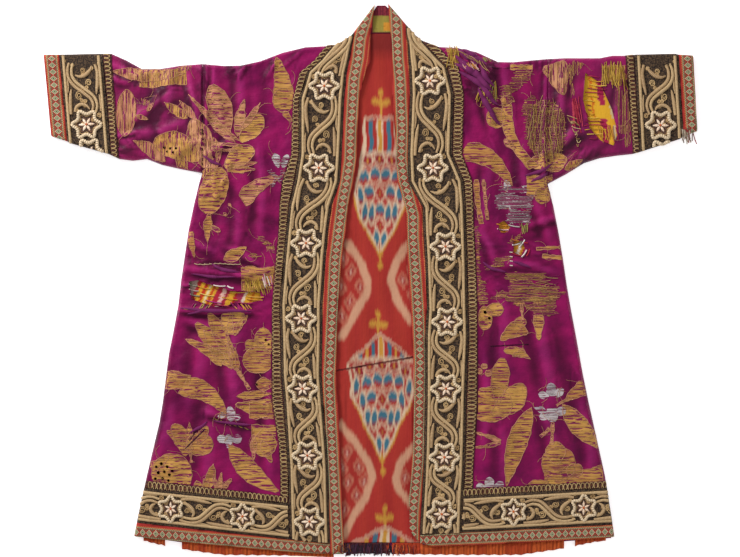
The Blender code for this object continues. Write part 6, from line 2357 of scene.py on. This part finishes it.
@dataclass
class LooseThreads:
    """Frayed and hanging threads in and round the tears, at the hem and at the neck, in their own colours."""

    name: str
    sheet: str
    drape: Drape
    strands: list[Strand] = field(default_factory=list)
    seed: int = 3

    def add(self, start: Point, end: Point, paint: str, radius: float = 0.6, bow: float = 0.0, lift: float = 0.5,
            hump: float = 0.0) -> None:
        """One thread from pixel to pixel.

        Args:
            start: Its first end.
            end: Its other end.
            paint: Its colour.
            radius: Its radius in millimetres.
            bow: How far it bends sideways, in pixels.
            lift: Its height above what it lies on.
            hump: How much higher its middle stands.
        """
        run = math.dist(start, end)
        ux, uy = (end[0] - start[0]) / run, (end[1] - start[1]) / run
        count = max(3, round(run * PIXEL / 2.5))
        points = []
        for i in range(count + 1):
            t = i / count
            sway = bow * math.sin(math.pi * t)
            x, y = spot(start[0] + ux * run * t - uy * sway, start[1] + uy * run * t + ux * sway)
            z, _ = self.drape.top(x, y)
            points.append((x, y, max(z, 0.2) + lift + hump * math.sin(math.pi * t)))
        self.strands.append(Strand(points, [radius] * len(points), 0.5, paint))

    def tuft(self, px: float, py: float, width: float, height: float, count: int, paints: Sequence[str],
             lean: float = 0.0, radius: float = 0.5, lift: float = 0.5) -> None:
        """Many short threads round a place.

        Args:
            px: Its middle.
            py: Its middle.
            width: How far it spreads across.
            height: How long the threads are, downwards.
            count: How many.
            paints: Their colours in turn.
            lean: How far each leans sideways.
            radius: Their radius in millimetres.
            lift: Their height above what they lie on.
        """
        scatter = random.Random(self.seed + round(px * 7 + py))
        for i in range(count):
            x = px + scatter.uniform(-width / 2, width / 2)
            y = py + scatter.uniform(-height * 0.25, height * 0.25)
            slant = lean + scatter.uniform(-0.25, 0.25) * height
            self.add((x, y - height / 2), (x + slant, y + height / 2 * scatter.uniform(0.7, 1.3)),
                     paints[i % len(paints)], radius, scatter.uniform(-0.8, 0.8), lift, scatter.uniform(0, 0.6))

    def build(self) -> bpy.types.Object | None:
        """Makes the piece."""
        return lay_cords("loose_thread_" + self.name, self.strands, COLOURED, 5, 0.85)


GOLD = ("B8902E", "D0A848", "9A7424")
ROSE = ("D89AA0", "E8C8B8", "B84A6A")
SILVER = ("B4AAA4", "CFC4BC", "968A86")
STRAW = ("C8A468", "A8844C", "E0C890")
FRAYED = ("A8863C", "8A3060", "B89850", "9A6A4A", "C0A060", "7A1A50")


@dataclass(frozen=True)
class Roll:
    """A twist of gathered silk, from pixel to pixel, with its greatest radius in millimetres and its bow in pixels."""

    x0: float
    y0: float
    x1: float
    y1: float
    radius: float
    bow: float


SHOULDER_ROLLS = tuple(Roll(*row) for row in (
    (458, 50, 482, 62, 2.6, 3), (455, 56, 478, 72, 2.8, 2), (454, 64, 486, 84, 2.6, -2), (462, 50, 486, 66, 2.2, -1),
    (458, 72, 490, 100, 2.4, -4), (472, 66, 492, 92, 2.8, 2), (480, 62, 494, 88, 2.2, 3), (478, 88, 496, 118, 2.4, 2),
    (484, 84, 498, 106, 2.2, 3), (486, 104, 500, 126, 1.8, 1), (470, 58, 478, 66, 2.0, 2),
))
UNDERARM_ROLLS = tuple(Roll(*row) for row in (
    (524, 176, 552, 164, 1.6, 2), (530, 182, 548, 172, 1.4, 1), (204, 156, 222, 166, 1.4, 1),
))
WAIST_ROLLS = tuple(Roll(*row) for row in (
    (180, 308, 252, 311, 1.5, 1), (188, 314, 214, 310, 1.2, -1), (212, 264, 240, 272, 1.5, 2), (192, 274, 236, 277, 1.2, 1),
    (214, 420, 252, 424, 1.3, 1), (190, 432, 208, 421, 1.2, 1), (482, 262, 506, 272, 1.4, 2), (512, 262, 530, 268, 1.2, -1),
))


def twists(name: str, rolls: Sequence[Roll], drape: Drape) -> bpy.types.Object | None:
    """Gathered twists of the silk itself, each a soft roll that tapers to both ends.

    Args:
        name: The piece's name.
        rolls: The twists.
        drape: The finished cloth.

    Returns:
        The piece.
    """
    strands = []
    for roll in rolls:
        run = math.dist((roll.x0, roll.y0), (roll.x1, roll.y1))
        ux, uy = (roll.x1 - roll.x0) / run, (roll.y1 - roll.y0) / run
        count = max(8, round(run / 1.6))
        points, radii = [], []
        for i in range(count + 1):
            t = i / count
            sway = roll.bow * math.sin(math.pi * t) + 0.3 * math.sin(9 * t + roll.x0)
            x, y = spot(roll.x0 + ux * run * t - uy * sway, roll.y0 + uy * run * t + ux * sway)
            z, found = drape.top(x, y)
            if found:
                points.append((x, y, z + 0.25 * roll.radius))
                radii.append(0.25 + 1.35 * roll.radius * math.sin(math.pi * t) ** 0.7 * (1 + 0.1 * math.sin(17 * t)))
        if len(points) > 2:
            strands.append(Strand(points, radii, 0.5))
    # The darker back silk gives these twists of the front silk painted shade
    return lay_cords("silk_twist_" + name, strands, BACK_SILK, 8, 0.85)


def worn_places(drape: Drape) -> list[LooseThreads]:
    """The frayed places of the robe.

    Args:
        drape: The finished cloth.

    Returns:
        One group of threads for each place.
    """
    waist = LooseThreads("waist_tear", "front_left", drape)
    for x0, y0, x1, y1, paint, radius in (
            (190, 284, 198, 286, "8A8A78", 0.8), (190, 289, 199, 291, "C8A8A0", 0.8), (191, 294, 200, 296, "8A8A78", 0.8),
            (198, 286, 210, 289, "D8A030", 0.6), (200, 293, 214, 296, "F0D070", 0.6), (206, 300, 222, 303, "B8308A", 0.7),
            (214, 285, 226, 286, "F0E0D8", 0.8), (228, 286, 234, 288, "F4E8E0", 1.0), (222, 297, 238, 300, "E8B030", 0.5),
            (230, 292, 246, 292, "F0C850", 0.6), (238, 302, 252, 303, "B02860", 0.7), (246, 296, 264, 297, "E0A848", 0.7),
            (247, 299, 263, 300, "C88A30", 0.7), (214, 304, 230, 306, "A81E50", 0.8)):
        waist.add((x0, y0), (x1, y1), paint, radius, 0.6, 0.6, 0.6)
    waist.tuft(256, 286, 22, 12, 26, GOLD, 3.0)
    waist.tuft(266, 280, 10, 9, 12, ROSE + ("F0E2DC",), 2.0, 0.7)
    waist.tuft(238, 306, 26, 5, 18, ("B01E70", "7A1050", "D8A030"), 4.0)
    waist.tuft(204, 306, 20, 5, 12, ("B01E70", "8A7A60", "C8A050"), -3.0)
    for i in range(9):
        waist.add((195 + i * 5, 263.5 + 0.5 * math.sin(i)), (201 + i * 5, 264 + 0.5 * math.sin(i + 1)), "C8B088", 0.5, 0.5)
    for i in range(12):
        waist.add((184 + i * 5.6, 308 + i * 0.3), (190 + i * 5.6, 309 + i * 0.3), "A81E78" if i % 3 else "C8902E", 0.55, 0.7, 0.6)
    chest = LooseThreads("chest_tear", "front_right", drape)
    for x0, y0, x1, y1, paint, radius in (
            (496, 224, 507, 226, "E0902E", 0.8), (497, 229, 508, 230, "F0C0C0", 0.8), (500, 232, 507, 232, "D07A20", 0.6),
            (508, 225, 519, 227, "C8BEB8", 0.8), (511, 239, 518, 241, "B86A28", 0.8), (512, 245, 520, 243, "F0E8E0", 0.9),
            (519, 247, 524, 240, "F4ECE6", 0.9), (523, 242, 527, 243, "B81E30", 0.8), (511, 253, 522, 256, "A81E38", 0.8),
            (521, 257, 526, 250, "F0E4DC", 0.9), (526, 256, 529, 249, "B82030", 0.8)):
        chest.add((x0, y0), (x1, y1), paint, radius, 0.5, 0.6, 0.5)
    for i in range(4):
        chest.add((509, 252 + i * 4.4), (512, 252.4 + i * 4.4), "EADCC8", 0.7, 0.2, 0.6)
    chest.tuft(524, 228, 8, 8, 8, ("8A8440", "A89A50"), 0.0)
    for i in range(110):
        turn = i * 2.4
        reach = math.sqrt((i + 0.5) / 110)
        x, y = 545 + 19 * reach * math.cos(turn), 130 + 28 * reach * math.sin(turn)
        chest.add((x, y - 7), (x + 2.5 * math.sin(turn), y + 8), FRAYED[i % 6], 0.32, 1.8 * math.sin(i * 1.7), 0.5, 0.9)
    for i in range(46):
        x, y = 508 + (i * 7.3) % 42, 276 + (i * 3.1) % 26
        chest.add((x, y), (x + 11, y + 1.5 * math.sin(i)), FRAYED[i % 6], 0.32, 1.2 * math.sin(i * 1.3), 0.5, 0.6)
    shoulder = LooseThreads("shoulder_wear", "front_right", drape)
    for i in range(10):
        shoulder.add((458 + i * 2.6, 52 + i * 1.2), (468 + i * 2.3, 57 + i * 1.9), FRAYED[i % 6], 0.4, 1.4 * math.sin(i),
                     3.0, 1.0)
    shoulder.tuft(466, 66, 10, 5, 9, ("D89A40", "E0A8A0"), 4.0, 0.5, 3.4)
    shoulder.tuft(474, 68, 8, 5, 7, ("E0B0A8", "C88A34"), 3.0, 0.5, 3.4)
    shoulder.tuft(485, 61, 6, 4, 6, ("8A8440",), 2.0)
    shoulder.tuft(488, 95, 14, 18, 16, GOLD + ("8A8440",), -3.0)
    shoulder.tuft(453, 58, 8, 18, 12, GOLD, 0.0)
    sleeve = LooseThreads("sleeve_tear", "sleeve_right_front", drape)
    for i in range(16):
        turn = i * 0.9
        sleeve.add((586 + 3 * math.sin(turn), 76 + i * 4.2), (598 + 8 * math.sin(turn * 0.7), 78 + i * 4.0),
                   ("B01E4E", "D8A030", "F0C850", "8A1A3A")[i % 4], 0.6, 1.2 * math.sin(turn), 0.6, 0.6)
    for i in range(14):
        sleeve.add((566 + i * 0.9, 116 + i * 2.2), (577 - 3 * math.sin(i), 120 + i * 1.9), STRAW[i % 3], 0.5,
                   3.0 * math.sin(i * 1.3), 0.5, 0.9)
    sleeve.tuft(575, 112, 8, 24, 12, ("A81E3E", "C03A50"), 2.0, 0.6)
    sleeve.tuft(612, 76, 22, 20, 30, GOLD, 1.0)
    sleeve.tuft(606, 134, 20, 12, 16, ("D8A030", "B01E4E", "C88A34"), 2.0)
    skirt = LooseThreads("skirt_tear", "front_left", drape)
    for i in range(12):
        skirt.add((215 + i * 3, 418 + i * 0.9), (219 + i * 3, 420 + i * 0.9), "3A0A2C" if i % 2 else "8A6A28", 0.7, 0.5, 0.2)
    hem = LooseThreads("hem_fraying", "hem_facing_middle", drape)
    hem.tuft(365, 549, 36, 9, 60, ("2A1426", "3E1C38", "1E1020", "5A2A40"), 0.0, 0.55, 0.3)
    hem.tuft(404, 549, 26, 8, 34, ("C84A24", "8A2A18", "D87030", "5A1A28"), 0.0, 0.55, 0.3)
    hem.tuft(391, 549, 9, 8, 26, ("2A1426", "C84A24", "5A1A28", "3E1C38"), 0.0, 0.55, 0.6)
    hem.tuft(346, 548, 7, 7, 20, ("2A1426", "5A2A40", "A85A28"), 0.0, 0.55, 0.6)
    hem.tuft(340, 548, 6, 5, 10, ("A85A28", "6A3418"), 0.0, 0.6, 0.4)
    cuff = LooseThreads("cuff_fraying", "cuff_tape_right", drape)
    cuff.tuft(686, 136, 16, 10, 22, ("B8A890", "7A5A40", "9A2A30", "D8C8B0"), 2.0, 0.6)
    return [waist, chest, shoulder, sleeve, skirt, hem, cuff]


def main() -> None:
    """Builds the robe piece by piece, sets each piece on the robe's body and builds the studio."""
    logging.basicConfig(level=logging.INFO, format="%(name)s %(message)s")
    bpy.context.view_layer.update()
    sheets = all_sheets()
    by_node = {sheet.node: sheet for sheet in sheets}
    for sheet in sheets:
        sheet.build()
    drape = Drape(sheets)
    for strip in STRIPS:
        by_node[strip.sheets[0]].laid_on_it += ScrollBorder(strip, drape).build()
    for ladder in ladders():
        braid = ladder.build(drape)
        if braid:
            by_node[ladder.sheets[0]].laid_on_it.append(braid)
    for name, figures, sheet, beside, upright in (
            ("front_left", LEFT_FIGURES, "front_left", "sleeve_left_front", False),
            ("front_right", RIGHT_FIGURES, "front_right", "sleeve_right_front", False),
            ("sleeve_left", LEFT_SLEEVE_FIGURES, "sleeve_left_front", "front_left", True),
            ("sleeve_right", RIGHT_SLEEVE_FIGURES, "sleeve_right_front", "front_right", True)):
        by_node[sheet].laid_on_it += Brocade(name, figures, (sheet, beside), upright, drape).build()
    for name, sheet, rolls in (("shoulder", "front_right", SHOULDER_ROLLS), ("underarm", "front_right", UNDERARM_ROLLS),
                               ("waist", "front_left", WAIST_ROLLS)):
        by_node[sheet].laid_on_it.append(twists(name, rolls, drape))
    for group in worn_places(drape):
        by_node[group.sheet].laid_on_it.append(group.build())
    for sheet in sheets:
        sheet.hand_over()
    Studio().build()
    bpy.context.view_layer.update()


if __name__ == "__main__":
    main()
